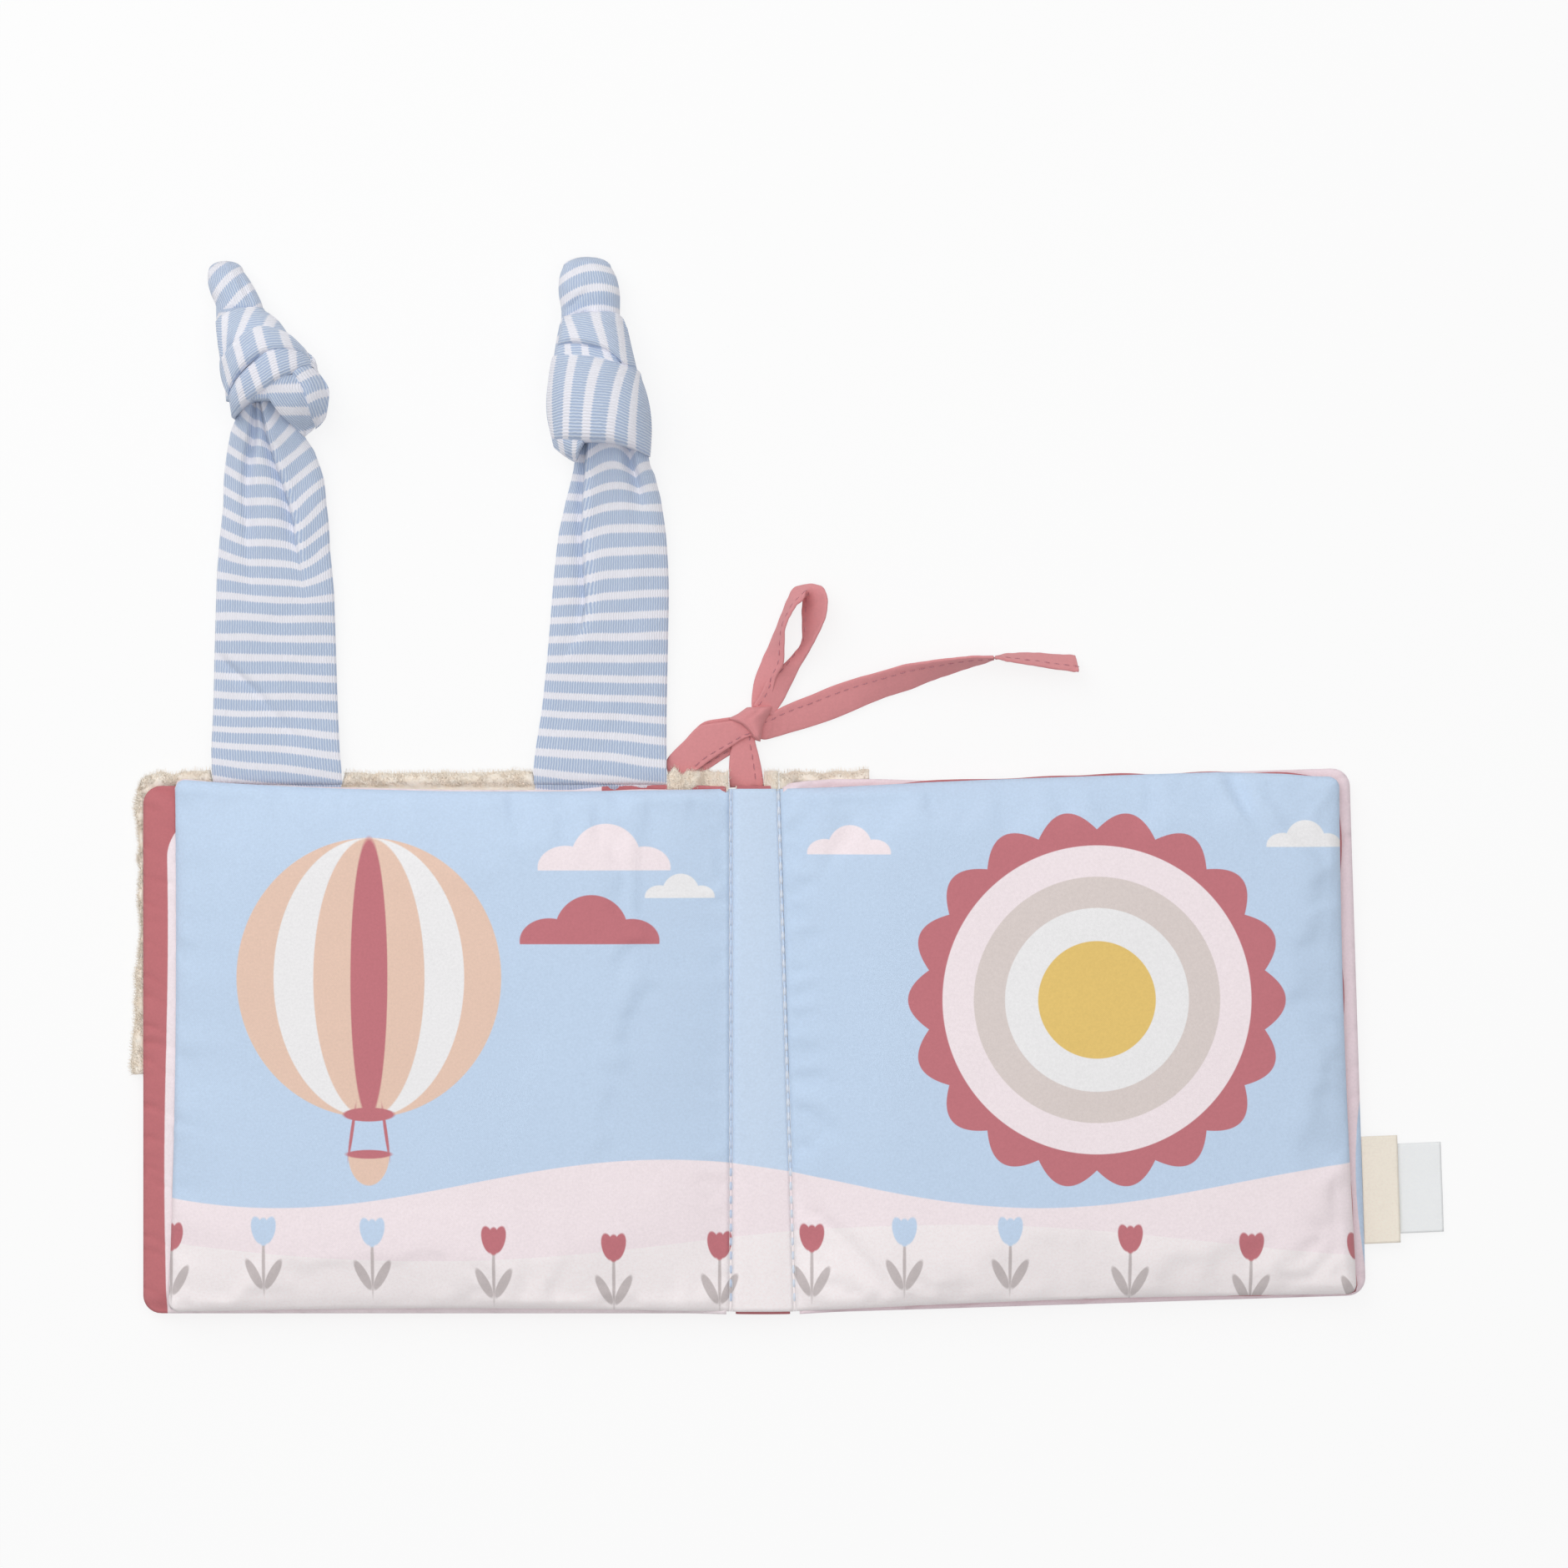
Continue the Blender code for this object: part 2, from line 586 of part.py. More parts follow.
def wadding_plan(width, half):
    """The wadding's outline follows the leaf's drawn-in edges from inside."""
    outer = panel_plan(LEAF_WIDTH, LEAF_HALF, LEAF_CORNER, LEAF_PULL)

    def plan(u, v):
        u, v = round_corner(u, v, width, half, LEAF_CORNER)
        return outer(u, v)
    return plan


def ring(centre, half_width, half_height, sides, folds=0, depth=0, power=0.75):
    """One flattened section, with `folds` lengthwise creases cut `depth` of its height deep."""
    points = []
    for step in range(sides):
        angle = 2 * math.pi * (step + 0.5) / sides
        across = math.copysign(abs(math.cos(angle)) ** power, math.cos(angle))
        up = math.copysign(abs(math.sin(angle)) ** power, math.sin(angle))
        crease = depth * (0.5 + 0.5 * math.cos(folds * math.pi * across)) if up > 0 else 0
        offset = Vector((half_width * across, 0, half_height * up * (1 - crease)))
        points.append(Vector(centre) + offset)
    return points


def loft(rings):
    """A closed tube through rings of equally many points."""
    bm = bmesh.new()
    rows = [[bm.verts.new(point) for point in points] for points in rings]
    count = len(rows[0])
    for first, second in zip(rows, rows[1:]):
        for k in range(count):
            after = (k + 1) % count
            bm.faces.new([first[k], first[after], second[after], second[k]])
    bm.faces.new(list(reversed(rows[0])))
    bm.faces.new(rows[-1])
    return bm


# Rows of an ear: along its length, sideways of its root, width, thickness, crease depth.
# Lengths are shares of the ear's length, width and knot thickness.
LEFT_STRAP_SHARES = (
    (0.03, 0.00, 1.00, 0.11, 0.00), (0.14, 0.00, 0.96, 0.20, 0.10),
    (0.27, 0.00, 0.93, 0.26, 0.25), (0.40, 0.00, 0.90, 0.30, 0.35),
    (0.50, 0.00, 0.86, 0.34, 0.42), (0.58, 0.02, 0.80, 0.38, 0.46),
    (0.635, 0.05, 0.68, 0.44, 0.46), (0.67, 0.08, 0.56, 0.50, 0.40),
)
LEFT_KNOT_SHARES = (
    (0.674, 0.07, 0.58, 0.56, 0.10), (0.69, 0.04, 0.70, 0.78, 0.14),
    (0.715, 0.01, 0.79, 0.93, 0.16), (0.745, 0.01, 0.81, 1.00, 0.16),
    (0.79, 0.06, 0.76, 1.00, 0.16), (0.84, 0.14, 0.66, 0.92, 0.14),
    (0.88, 0.22, 0.50, 0.76, 0.12), (0.908, 0.28, 0.38, 0.56, 0.08),
)
LEFT_TIP_SHARES = (
    (0.911, 0.29, 0.36, 0.52, 0.05), (0.935, 0.33, 0.36, 0.52, 0.05),
    (0.96, 0.37, 0.33, 0.47, 0.00), (0.982, 0.40, 0.26, 0.38, 0.00),
    (1.0, 0.41, 0.13, 0.20, 0.00),
)
RIGHT_STRAP_SHARES = (
    (0.03, 0.00, 1.00, 0.11, 0.00), (0.14, -0.03, 0.94, 0.20, 0.10),
    (0.27, -0.06, 0.90, 0.26, 0.25), (0.38, -0.08, 0.87, 0.30, 0.35),
    (0.47, -0.09, 0.81, 0.34, 0.42), (0.54, -0.10, 0.71, 0.40, 0.46),
    (0.585, -0.10, 0.62, 0.46, 0.46), (0.605, -0.09, 0.57, 0.50, 0.40),
)
RIGHT_KNOT_SHARES = (
    (0.609, -0.06, 0.64, 0.60, 0.06), (0.62, -0.03, 0.72, 0.84, 0.10),
    (0.66, 0.00, 0.76, 0.98, 0.12), (0.72, 0.02, 0.765, 1.00, 0.12),
    (0.79, 0.04, 0.67, 0.96, 0.12), (0.84, 0.06, 0.57, 0.84, 0.10),
    (0.875, 0.07, 0.49, 0.68, 0.06), (0.892, 0.07, 0.43, 0.54, 0.04),
)
RIGHT_TIP_SHARES = (
    (0.895, 0.07, 0.44, 0.54, 0.04), (0.93, 0.08, 0.46, 0.58, 0.00),
    (0.96, 0.09, 0.43, 0.54, 0.00), (0.985, 0.10, 0.34, 0.44, 0.00),
    (1.0, 0.11, 0.18, 0.24, 0.00),
)
STRAP_SIDES = 44
KNOT_SIDES = 28
STRAP_FOLDS = 5
KNOT_FOLDS = 3


def ear_rings(shares, width, length, sides, folds, rise):
    """Sections of one ear piece in its hinge's frame, its underside `rise` above the floor."""
    rings = []
    for along, sideways, breadth, thickness, depth in shares:
        half_height = EAR_THICKNESS * thickness / 2
        height = half_height + rise(along * length)
        centre = (-sideways * width, along * length, height - EAR_ROOT_HEIGHT)
        rings.append(ring(centre, breadth * width / 2, half_height, sides, folds, depth))
    return rings


def root_rings(width):
    """The round root on the hinge line, so that the ear turns clear of the cover's rim."""
    rings = []
    for degrees in (20, 50, 90):
        angle = math.radians(degrees)
        centre = (0, -EAR_ROOT_RADIUS * math.cos(angle), 0)
        rings.append(ring(centre, width / 2, EAR_ROOT_RADIUS * math.sin(angle), STRAP_SIDES))
    return rings


def make_ear(prefix, hinge, width, length, strap, knot, tip):
    """One ear: it drops from its root to the floor, and lies on its knot."""
    drop = EAR_ROOT_HEIGHT - EAR_ROOT_RADIUS

    def rise(distance):
        return drop * (1 - ease(distance - EAR_ROOT_RUN, length / 6))

    rings = root_rings(width) + ear_rings(strap, width, length, STRAP_SIDES,
                                         STRAP_FOLDS, rise)
    add_piece(prefix + "_strap", loft(rings), "jersey", hinge)
    rings = ear_rings(knot, width, length, KNOT_SIDES, KNOT_FOLDS, rise)
    add_piece(prefix + "_knot", loft(rings), "jersey", hinge)
    rings = ear_rings(tip, width, length, KNOT_SIDES, KNOT_FOLDS, rise)
    add_piece(prefix + "_tip", loft(rings), "jersey", hinge)


def ribbon(route, width_directions):
    """A flat band along a route of points, its width lying along the given directions."""
    rings = []
    last = len(route) - 1
    for index, point in enumerate(route):
        tangent = (route[min(last, index + 1)] - route[max(0, index - 1)]).normalized()
        wide = width_directions[index]
        wide = (wide - tangent * wide.dot(tangent)).normalized() * RIBBON_WIDTH / 2
        thick = tangent.cross(wide).normalized() * RIBBON_THICKNESS / 2
        rings.append([point + wide + thick, point + wide - thick,
                      point - wide - thick, point - wide + thick])
    return loft(rings)


def smooth_route(points, steps):
    """Points on a smooth curve through the route's own points."""
    ends = [points[0] * 2 - points[1]] + list(points) + [points[-1] * 2 - points[-2]]
    curve = []
    for before, start, end, after in zip(ends, ends[1:], ends[2:], ends[3:]):
        for step in range(steps):
            t = step / steps
            curve.append(0.5 * (2 * start + (end - before) * t
                                + (2 * before - 5 * start + 4 * end - after) * t * t
                                + (3 * start - before - 3 * end + after) * t ** 3))
    return curve + [points[-1]]


# Routes of the ribbon: along x, along y and height, as shares of each stretch's length,
# from the middle of the knot. The last number is the ribbon's tilt in degrees.
UPPER_LOOP_SHARES = (
    (0.01, 0.20, 0.17), (0.09, 0.42, 0.15), (0.19, 0.68, 0.15), (0.30, 0.93, 0.16),
    (0.42, 1.11, 0.17), (0.54, 1.09, 0.18), (0.55, 0.88, 0.18), (0.43, 0.60, 0.17),
    (0.29, 0.36, 0.16), (0.18, 0.21, 0.16),
)
UPPER_LOOP_LEAN = Vector((-0.45, 0.21, 0.87))
LEFT_LOOP_SHARES = (
    (-0.31, -0.04, 0.10), (-0.70, -0.24, 0.07), (-1.00, -0.50, 0.06), (-1.10, -0.60, 0.13),
    (-1.00, -0.50, 0.22), (-0.70, -0.24, 0.27), (-0.31, -0.04, 0.26),
)
LEFT_LOOP_ACROSS = Vector((-0.60, 0.80, 0))
LONG_TAIL_SHARES = (
    (0.065, -0.018, 0.030, 6), (0.15, 0.018, 0.020, 10), (0.27, 0.063, 0.022, 16),
    (0.40, 0.106, 0.030, 26), (0.54, 0.145, 0.042, 42), (0.67, 0.179, 0.054, 62),
    (0.80, 0.199, 0.061, 88), (0.92, 0.196, 0.058, 110), (1.055, 0.180, 0.052, 122),
)
TIE_KNOT_SHARES = ((0.0, 0.55, 0.40), (0.12, 0.82, 0.72), (0.35, 1.00, 1.00),
                   (0.65, 1.00, 1.00), (0.88, 0.84, 0.76), (1.0, 0.60, 0.48))


def make_tie(hinge):
    """Ribbon sewn into the top of the spine and tied in a bow, one loop and a long tail out."""
    floor = -TIE_ROOT_HEIGHT
    start = GAP + RIBBON_THICKNESS / 2
    knot_start = start + TIE_ANCHOR_LENGTH
    middle = Vector((TIE_KNOT_WIDTH / 5, knot_start + TIE_KNOT_LENGTH / 2, floor))

    def at(share, length):
        return middle + Vector(share[:3]) * length

    flat = Vector((1, 0, 0))
    lean = TIE_KNOT_WIDTH / 5
    route = [Vector((0, 0, 0)), Vector((lean / 3, TIE_ANCHOR_LENGTH / 3, floor / 4)),
             Vector((lean * 2 / 3, TIE_ANCHOR_LENGTH * 2 / 3, floor / 3)),
             Vector((lean, knot_start - GAP - start, 0))]
    route[-1].z = floor + TIE_KNOT_THICKNESS / 2 - RIBBON_THICKNESS
    add_piece("tie_anchor", ribbon(route, [flat] * len(route)), "ribbon", hinge)

    rings = []
    for along, breadth, thickness in TIE_KNOT_SHARES:
        half_height = TIE_KNOT_THICKNESS * thickness / 2
        centre = (middle.x, knot_start - start + along * TIE_KNOT_LENGTH,
                  floor + TIE_KNOT_THICKNESS / 2)
        rings.append(ring(centre, TIE_KNOT_WIDTH * breadth / 2, half_height, 12, power=0.9))
    add_piece("tie_knot", loft(rings), "ribbon", hinge)

    route = smooth_route([at(share, UPPER_LOOP_LENGTH) for share in UPPER_LOOP_SHARES], 3)
    add_piece("tie_upper_loop", ribbon(route, [UPPER_LOOP_LEAN] * len(route)), "ribbon", hinge)

    route = smooth_route([at(share, LEFT_LOOP_LENGTH) for share in LEFT_LOOP_SHARES], 3)
    add_piece("tie_left_loop", ribbon(route, [LEFT_LOOP_ACROSS] * len(route)), "ribbon", hinge)

    steps = 3
    points = [at(share, LONG_TAIL_LENGTH) for share in LONG_TAIL_SHARES]
    tilts = smooth_route([Vector((share[3], 0, 0)) for share in LONG_TAIL_SHARES], steps)
    route = smooth_route(points, steps)
    directions = []
    for index, tilt in enumerate(tilts):
        tangent = route[min(len(route) - 1, index + 1)] - route[max(0, index - 1)]
        sideways = Vector((-tangent.y, tangent.x, 0)).normalized()
        angle = math.radians(tilt.x)
        directions.append(sideways * math.cos(angle) + Vector((0, 0, math.sin(angle))))
    add_piece("tie_long_tail", ribbon(route, directions), "ribbon", hinge)


def make_tag(name, key, hinge, length, width, thickness, level):
    """A flat tag that slopes from the cover's rim towards the floor."""
    across = [0, length]
    along = [TAG_CENTRE - width / 2, TAG_CENTRE + width / 2]

    def underside(u, v):
        return level - TAG_SLOPE * u

    def topside(u, v):
        return underside(u, v) + thickness

    bm = slab(across, along, underside, topside, lambda u, v: ((u, v), (u, v)))
    add_piece(name, bm, key, hinge)


def build():
    clear_scene()
    front = add_hinge("front_cover_hinge", (-SEAM_OFFSET, 0, SEAM_HEIGHT))
    back = add_hinge("back_cover_hinge", (SEAM_OFFSET, 0, SEAM_HEIGHT), turn=RIGHT_HALF_TURN)
    make_spine()
    seam_thread("left_seam_thread", front)
    seam_thread("right_seam_thread", back)
    make_front_cover(front)
    make_back_cover(back)
    make_leaf("left_leaf", front, -1)
    make_leaf("right_leaf", back, 1)

    ear_drop = EAR_ROOT_HEIGHT - SEAM_HEIGHT
    left = add_hinge("left_ear_hinge", (-LEFT_EAR_CENTRE, EAR_HINGE_V, ear_drop), front)
    make_ear("left_ear", left, LEFT_EAR_WIDTH, LEFT_EAR_LENGTH,
             LEFT_STRAP_SHARES, LEFT_KNOT_SHARES, LEFT_TIP_SHARES)
    right = add_hinge("right_ear_hinge", (-RIGHT_EAR_CENTRE, EAR_HINGE_V, ear_drop), front)
    make_ear("right_ear", right, RIGHT_EAR_WIDTH, RIGHT_EAR_LENGTH,
             RIGHT_STRAP_SHARES, RIGHT_KNOT_SHARES, RIGHT_TIP_SHARES)

    tie = add_hinge("tie_hinge", (-TIE_OFFSET, TIE_HINGE_V, TIE_ROOT_HEIGHT))
    make_tie(tie)

    tags = add_hinge("tag_hinge", (BACK_COVER_WIDTH + TAG_ROOT_GAP, 0,
                                   TAG_ROOT_HEIGHT - SEAM_HEIGHT), back)
    make_tag("white_tag", "white", tags, WHITE_TAG_LENGTH, WHITE_TAG_WIDTH,
             WHITE_TAG_THICKNESS, -GAP / 2 - WHITE_TAG_THICKNESS)
    make_tag("cream_tag", "cream", tags, CREAM_TAG_LENGTH, CREAM_TAG_WIDTH,
             CREAM_TAG_THICKNESS, GAP / 2)


build()
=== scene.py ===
# %% [markdown]
# A baby's cloth play book, open flat at its middle pages and seen from straight above.
# Blender works in metres. The frame is the same book as plain solids, with its hinges, and
# every piece made here is laid over the solid that it stands for and rides on its body.

# %% Load the frame
import json
import math
import random

import bmesh
import bpy
from mathutils import Matrix, Vector, noise


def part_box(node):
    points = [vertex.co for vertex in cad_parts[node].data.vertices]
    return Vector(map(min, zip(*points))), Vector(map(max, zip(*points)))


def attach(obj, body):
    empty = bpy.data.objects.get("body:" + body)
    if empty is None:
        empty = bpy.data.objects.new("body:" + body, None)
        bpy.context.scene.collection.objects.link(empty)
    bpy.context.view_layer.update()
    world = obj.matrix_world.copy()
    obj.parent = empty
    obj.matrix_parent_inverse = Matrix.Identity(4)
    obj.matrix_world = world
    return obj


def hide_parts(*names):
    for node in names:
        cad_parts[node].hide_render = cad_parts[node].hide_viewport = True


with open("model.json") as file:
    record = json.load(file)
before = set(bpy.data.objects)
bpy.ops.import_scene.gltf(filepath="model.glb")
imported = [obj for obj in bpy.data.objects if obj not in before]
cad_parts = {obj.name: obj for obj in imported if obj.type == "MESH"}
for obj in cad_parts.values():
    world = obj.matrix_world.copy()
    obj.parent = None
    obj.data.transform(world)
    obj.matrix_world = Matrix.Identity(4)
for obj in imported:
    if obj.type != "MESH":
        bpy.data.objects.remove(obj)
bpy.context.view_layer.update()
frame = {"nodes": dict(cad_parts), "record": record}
MM = 0.001
bpy.ops.object.select_all(action="DESELECT")

# %% [markdown]
# Each half of the book has its own directions: u runs out from the page seam, v runs along
# the seam, and z is up. The right half lies slightly turned, so its seam leans. Both seams
# are hinge lines, and their places and directions come from the frame's record.

# %% The two halves
record = frame["record"]
hinges = {joint["name"]: joint for joint in record["behaviour"]["joints"]}


class Half:
    """Places a point given as u, v, z of one half of the book."""

    def __init__(self, hinge, side):
        self.seam = Vector(hinges[hinge]["pos_m"])
        axis = Vector(hinges[hinge]["axis"])
        self.along = axis if axis.y > 0 else -axis
        self.out = self.along.cross(Vector((0, 0, 1))) * side

    def place(self, u, v, z):
        flat = Vector((self.seam.x, self.seam.y, 0)) + self.out * u + self.along * v
        return Vector((flat.x, flat.y, z))

    def read(self, point):
        """u and v of a point."""
        offset = Vector(point) - self.seam
        return offset.dot(self.out), offset.dot(self.along)


LEFT = Half("front_cover_fold", -1)
RIGHT = Half("back_cover_fold", 1)
SEAM_HEIGHT = LEFT.seam.z


def reach(node, half):
    """Largest u and v of a node's points."""
    points = [half.read(v.co) for v in frame["nodes"][node].data.vertices]
    return max(p[0] for p in points), max(p[1] for p in points)


LEAF_WIDTH, LEAF_HALF = reach("left_leaf_picture", LEFT)
LEAF_HALF = max(LEAF_HALF, reach("left_leaf_reverse", LEFT)[1])
FRONT_WIDTH, COVER_HALF = reach("front_cover_lining", LEFT)
BACK_WIDTH = reach("back_cover_lining", RIGHT)[0]
print("leaf %.1f x %.1f mm" % (LEAF_WIDTH / MM, 2 * LEAF_HALF / MM))

# %% [markdown]
# The photograph looks straight down, so the camera hangs over the book with a long lens.
# The frame it shows is as wide at the pages' height as the photograph is.

# %% Camera
VIEW_CENTRE = Vector((6.9, 72.7, 10.0)) * MM
VIEW_WIDTH = 427.3 * MM
LENS = 110.0
SENSOR = 36.0
camera_data = bpy.data.cameras.new("camera")
camera_data.lens = LENS
camera_data.sensor_width = SENSOR
camera = bpy.data.objects.new("camera", camera_data)
camera.location = VIEW_CENTRE + Vector((0, 0, VIEW_WIDTH * LENS / SENSOR))
bpy.context.scene.collection.objects.link(camera)
bpy.context.scene.camera = camera
bpy.context.scene.view_settings.view_transform = "Standard"

# %% [markdown]
# Soft studio light: an even pale sky, a wide lamp overhead that darkens what turns away from
# it, and one lamp from the upper left that shapes the folds. Together they light a colour at
# about the value it is written with.

# %% Light
SKY_LEVEL = 0.4
PURE_WHITE = (1, 1, 1, 1)
LAMPS = {
    "overhead_lamp": {"power": 6.6, "size": 1.2, "place": (0.05, 0.15, 1.3)},
    "key_lamp": {"power": 4.6, "size": 0.9, "place": (-0.55, 0.75, 0.8)},
}
LIT_PLACE = Vector((0, 0.05, 0))
world = bpy.data.worlds.new("studio")
bpy.context.scene.world = world
world.use_nodes = True
tree = world.node_tree
sky = tree.nodes["Background"]
sky.inputs["Color"].default_value = PURE_WHITE
sky.inputs["Strength"].default_value = SKY_LEVEL
backdrop = tree.nodes.new("ShaderNodeBackground")
backdrop.inputs["Color"].default_value = PURE_WHITE
rays = tree.nodes.new("ShaderNodeLightPath")
choose = tree.nodes.new("ShaderNodeMixShader")
tree.links.new(rays.outputs["Is Camera Ray"], choose.inputs["Fac"])
tree.links.new(sky.outputs["Background"], choose.inputs[1])
tree.links.new(backdrop.outputs["Background"], choose.inputs[2])
tree.links.new(choose.outputs["Shader"], tree.nodes["World Output"].inputs["Surface"])

for name, values in LAMPS.items():
    lamp_data = bpy.data.lights.new(name, "AREA")
    lamp_data.energy = values["power"]
    lamp_data.size = values["size"]
    lamp = bpy.data.objects.new(name, lamp_data)
    lamp.location = values["place"]
    aim = LIT_PLACE - lamp.location
    lamp.rotation_euler = aim.to_track_quat("-Z", "Y").to_euler()
    bpy.context.scene.collection.objects.link(lamp)

# %% [markdown]
# Materials are built from nodes. This small helper adds a node, sets its values and joins
# its sockets, so that a material reads as a list of what is laid over what.

# %% Node helper


class Graph:
    """Adds nodes to a tree; a value may be a number, a colour or another node's socket."""

    def __init__(self, tree):
        self.tree = tree

    def feed(self, socket, value):
        if isinstance(value, bpy.types.NodeSocket):
            self.tree.links.new(value, socket)
        else:
            socket.default_value = value

    def node(self, kind, values=None, **settings):
        made = self.tree.nodes.new(kind)
        for name, setting in settings.items():
            setattr(made, name, setting)
        for name, value in (values or {}).items():
            self.feed(made.inputs[name], value)
        return made

    def math(self, operation, first, second=0.0, clamp=False):
        return self.node("ShaderNodeMath", {0: first, 1: second}, operation=operation,
                         use_clamp=clamp).outputs[0]

    def plus(self, first, second, clamp=False):
        return self.math("ADD", first, second, clamp)

    def minus(self, first, second):
        return self.math("SUBTRACT", first, second)

    def times(self, first, second):
        return self.math("MULTIPLY", first, second)

    def over(self, first, second, clamp=False):
        return self.math("DIVIDE", first, second, clamp)

    def mix(self, factor, first, second):
        """Colour `first`, with `second` laid over it where the factor is 1."""
        made = self.node("ShaderNodeMix", data_type="RGBA")
        self.feed(made.inputs[0], factor)
        self.feed(made.inputs[6], first)
        self.feed(made.inputs[7], second)
        return made.outputs[2]

    def group(self, group, values):
        made = self.node("ShaderNodeGroup", node_tree=group)
        for name, value in values.items():
            self.feed(made.inputs[name], value)
        return made


def start_group(name, inputs, outputs):
    """An empty node group with named sockets; returns its graph and both end nodes."""
    group = bpy.data.node_groups.new(name, "ShaderNodeTree")
    for title, kind in inputs:
        group.interface.new_socket(title, in_out="INPUT", socket_type=kind)
    for title, kind in outputs:
        group.interface.new_socket(title, in_out="OUTPUT", socket_type=kind)
    graph = Graph(group)
    return group, graph, graph.node("NodeGroupInput"), graph.node("NodeGroupOutput")


NUMBER, VECTOR, COLOUR = "NodeSocketFloat", "NodeSocketVector", "NodeSocketColor"


def srgb(red, green, blue):
    """A colour read from 0 to 255, as the shader's linear values."""
    linear = []
    for part in (red, green, blue):
        share = part / 255
        linear.append(share / 12.92 if share <= 0.04045 else ((share + 0.055) / 1.055) ** 2.4)
    return (*linear, 1)


# %% [markdown]
# Three finishes are shared. Woven cotton has crossing threads and a little unevenness.
# Printing on cotton leaves a fine speckle where ink misses a thread. A printed shape is an
# ellipse with a crisp edge: most of the picture is made of these, as in paper cutting.

# %% Shared groups: weave, speckle and printed shape
weave_group, g, start, end = start_group(
    "Woven threads", [("Place", VECTOR), ("Threads", NUMBER)], [("Height", NUMBER)])
parts = g.node("ShaderNodeSeparateXYZ", {0: start.outputs["Place"]})
turn = g.times(start.outputs["Threads"], 2 * math.pi)
warp = g.math("SINE", g.times(parts.outputs["X"], turn))
weft = g.math("SINE", g.times(parts.outputs["Y"], turn))
fuzz = g.node("ShaderNodeTexNoise", {"Vector": start.outputs["Place"], "Scale": 900.0})
height = g.plus(g.times(warp, weft), fuzz.outputs["Fac"])
g.feed(end.inputs["Height"], height)

speckle_group, g, start, end = start_group(
    "Print speckle", [("Place", VECTOR), ("Ink", COLOUR), ("Amount", NUMBER)],
    [("Colour", COLOUR)])
fine = g.node("ShaderNodeTexNoise", {"Vector": start.outputs["Place"], "Scale": 1500.0,
                                     "Detail": 2.0})
broad = g.node("ShaderNodeTexNoise", {"Vector": start.outputs["Place"], "Scale": 45.0})
grain = g.minus(fine.outputs["Fac"], 0.5)
cloud = g.minus(broad.outputs["Fac"], 0.5)
shift = g.plus(grain, g.times(cloud, 0.25))
level = g.plus(1.0, g.times(shift, start.outputs["Amount"]))
tone = g.node("ShaderNodeHueSaturation", {"Value": level, "Color": start.outputs["Ink"]})
g.feed(end.inputs["Colour"], tone.outputs["Color"])

shape_group, g, start, end = start_group(
    "Printed ellipse",
    [("Place", VECTOR), ("Centre", VECTOR), ("Half width", NUMBER), ("Half height", NUMBER),
     ("Turn", NUMBER)],
    [("Mask", NUMBER)])
offset = g.node("ShaderNodeVectorMath", {0: start.outputs["Place"], 1: start.outputs["Centre"]},
                operation="SUBTRACT")
turned = g.node("ShaderNodeVectorRotate", {"Vector": offset.outputs[0],
                                           "Angle": start.outputs["Turn"]},
                rotation_type="Z_AXIS")
parts = g.node("ShaderNodeSeparateXYZ", {0: turned.outputs[0]})
across = g.over(parts.outputs["X"], start.outputs["Half width"])
along = g.over(parts.outputs["Y"], start.outputs["Half height"])
square = g.plus(g.times(across, across), g.times(along, along))
away = g.minus(1.0, g.math("SQRT", square))
smaller = g.math("MINIMUM", start.outputs["Half width"], start.outputs["Half height"])
EDGE = 0.25
crisp = g.over(g.times(away, smaller), EDGE)
g.feed(end.inputs["Mask"], g.plus(crisp, 0.5, clamp=True))

# %% [markdown]
# The inks are read from the photograph's cloth: a calm sky blue, old rose, pale pink,
# greige, white and a warm beige.

# %% Inks
SKY = srgb(203, 223, 247)
ROSE = srgb(203, 122, 130)
PINK = srgb(253, 240, 244)
GREIGE = srgb(228, 216, 212)
WHITE = srgb(248, 247, 248)
BEIGE = srgb(240, 207, 188)
OCHRE = srgb(240, 205, 120)
SAGE = srgb(206, 196, 196)


def cloth(name, roughness, sheen, sheen_tint=(1, 1, 1, 1)):
    """A cloth material; returns it with its graph, its shader and its object coordinates."""
    material = bpy.data.materials.new(name)
    material.use_nodes = True
    graph = Graph(material.node_tree)
    shader = material.node_tree.nodes["Principled BSDF"]
    shader.inputs["Roughness"].default_value = roughness
    shader.inputs["Specular IOR Level"].default_value = 0.25
    shader.inputs["Sheen Weight"].default_value = sheen
    shader.inputs["Sheen Roughness"].default_value = 0.6
    shader.inputs["Sheen Tint"].default_value = sheen_tint
    place = graph.node("ShaderNodeTexCoord").outputs["Object"]
    return material, graph, shader, place


def bump(graph, shader, height, strength, distance):
    made = graph.node("ShaderNodeBump", {"Height": height, "Strength": strength,
                                         "Distance": distance})
    graph.feed(shader.inputs["Normal"], made.outputs["Normal"])


def woven(graph, shader, place, threads, strength):
    made = graph.group(weave_group, {"Place": place, "Threads": threads})
    bump(graph, shader, made.outputs["Height"], strength, 0.06 * MM)


def dye(graph, shader, place, ink, amount=0.14, threads=2600.0, strength=0.25):
    """A woven cloth in one ink, a little uneven by the amount."""
    made = graph.group(speckle_group, {"Place": place, "Ink": ink, "Amount": amount})
    graph.feed(shader.inputs["Base Color"], made.outputs["Colour"])
    woven(graph, shader, place, threads, strength)


# %% [markdown]
# The spread is printed with a simple scene in flat shapes. The left page has a striped
# hot-air balloon and clouds; the right page has a round sun with rings and a scalloped edge,
# and two clouds. Hills and a row of tulips run across all of it. One tulip is drawn and
# repeated by folding the page's coordinates. Each page is its own material, so that none
# grows too large for the renderer. Everything is given in millimetres.

# %% The printed spread


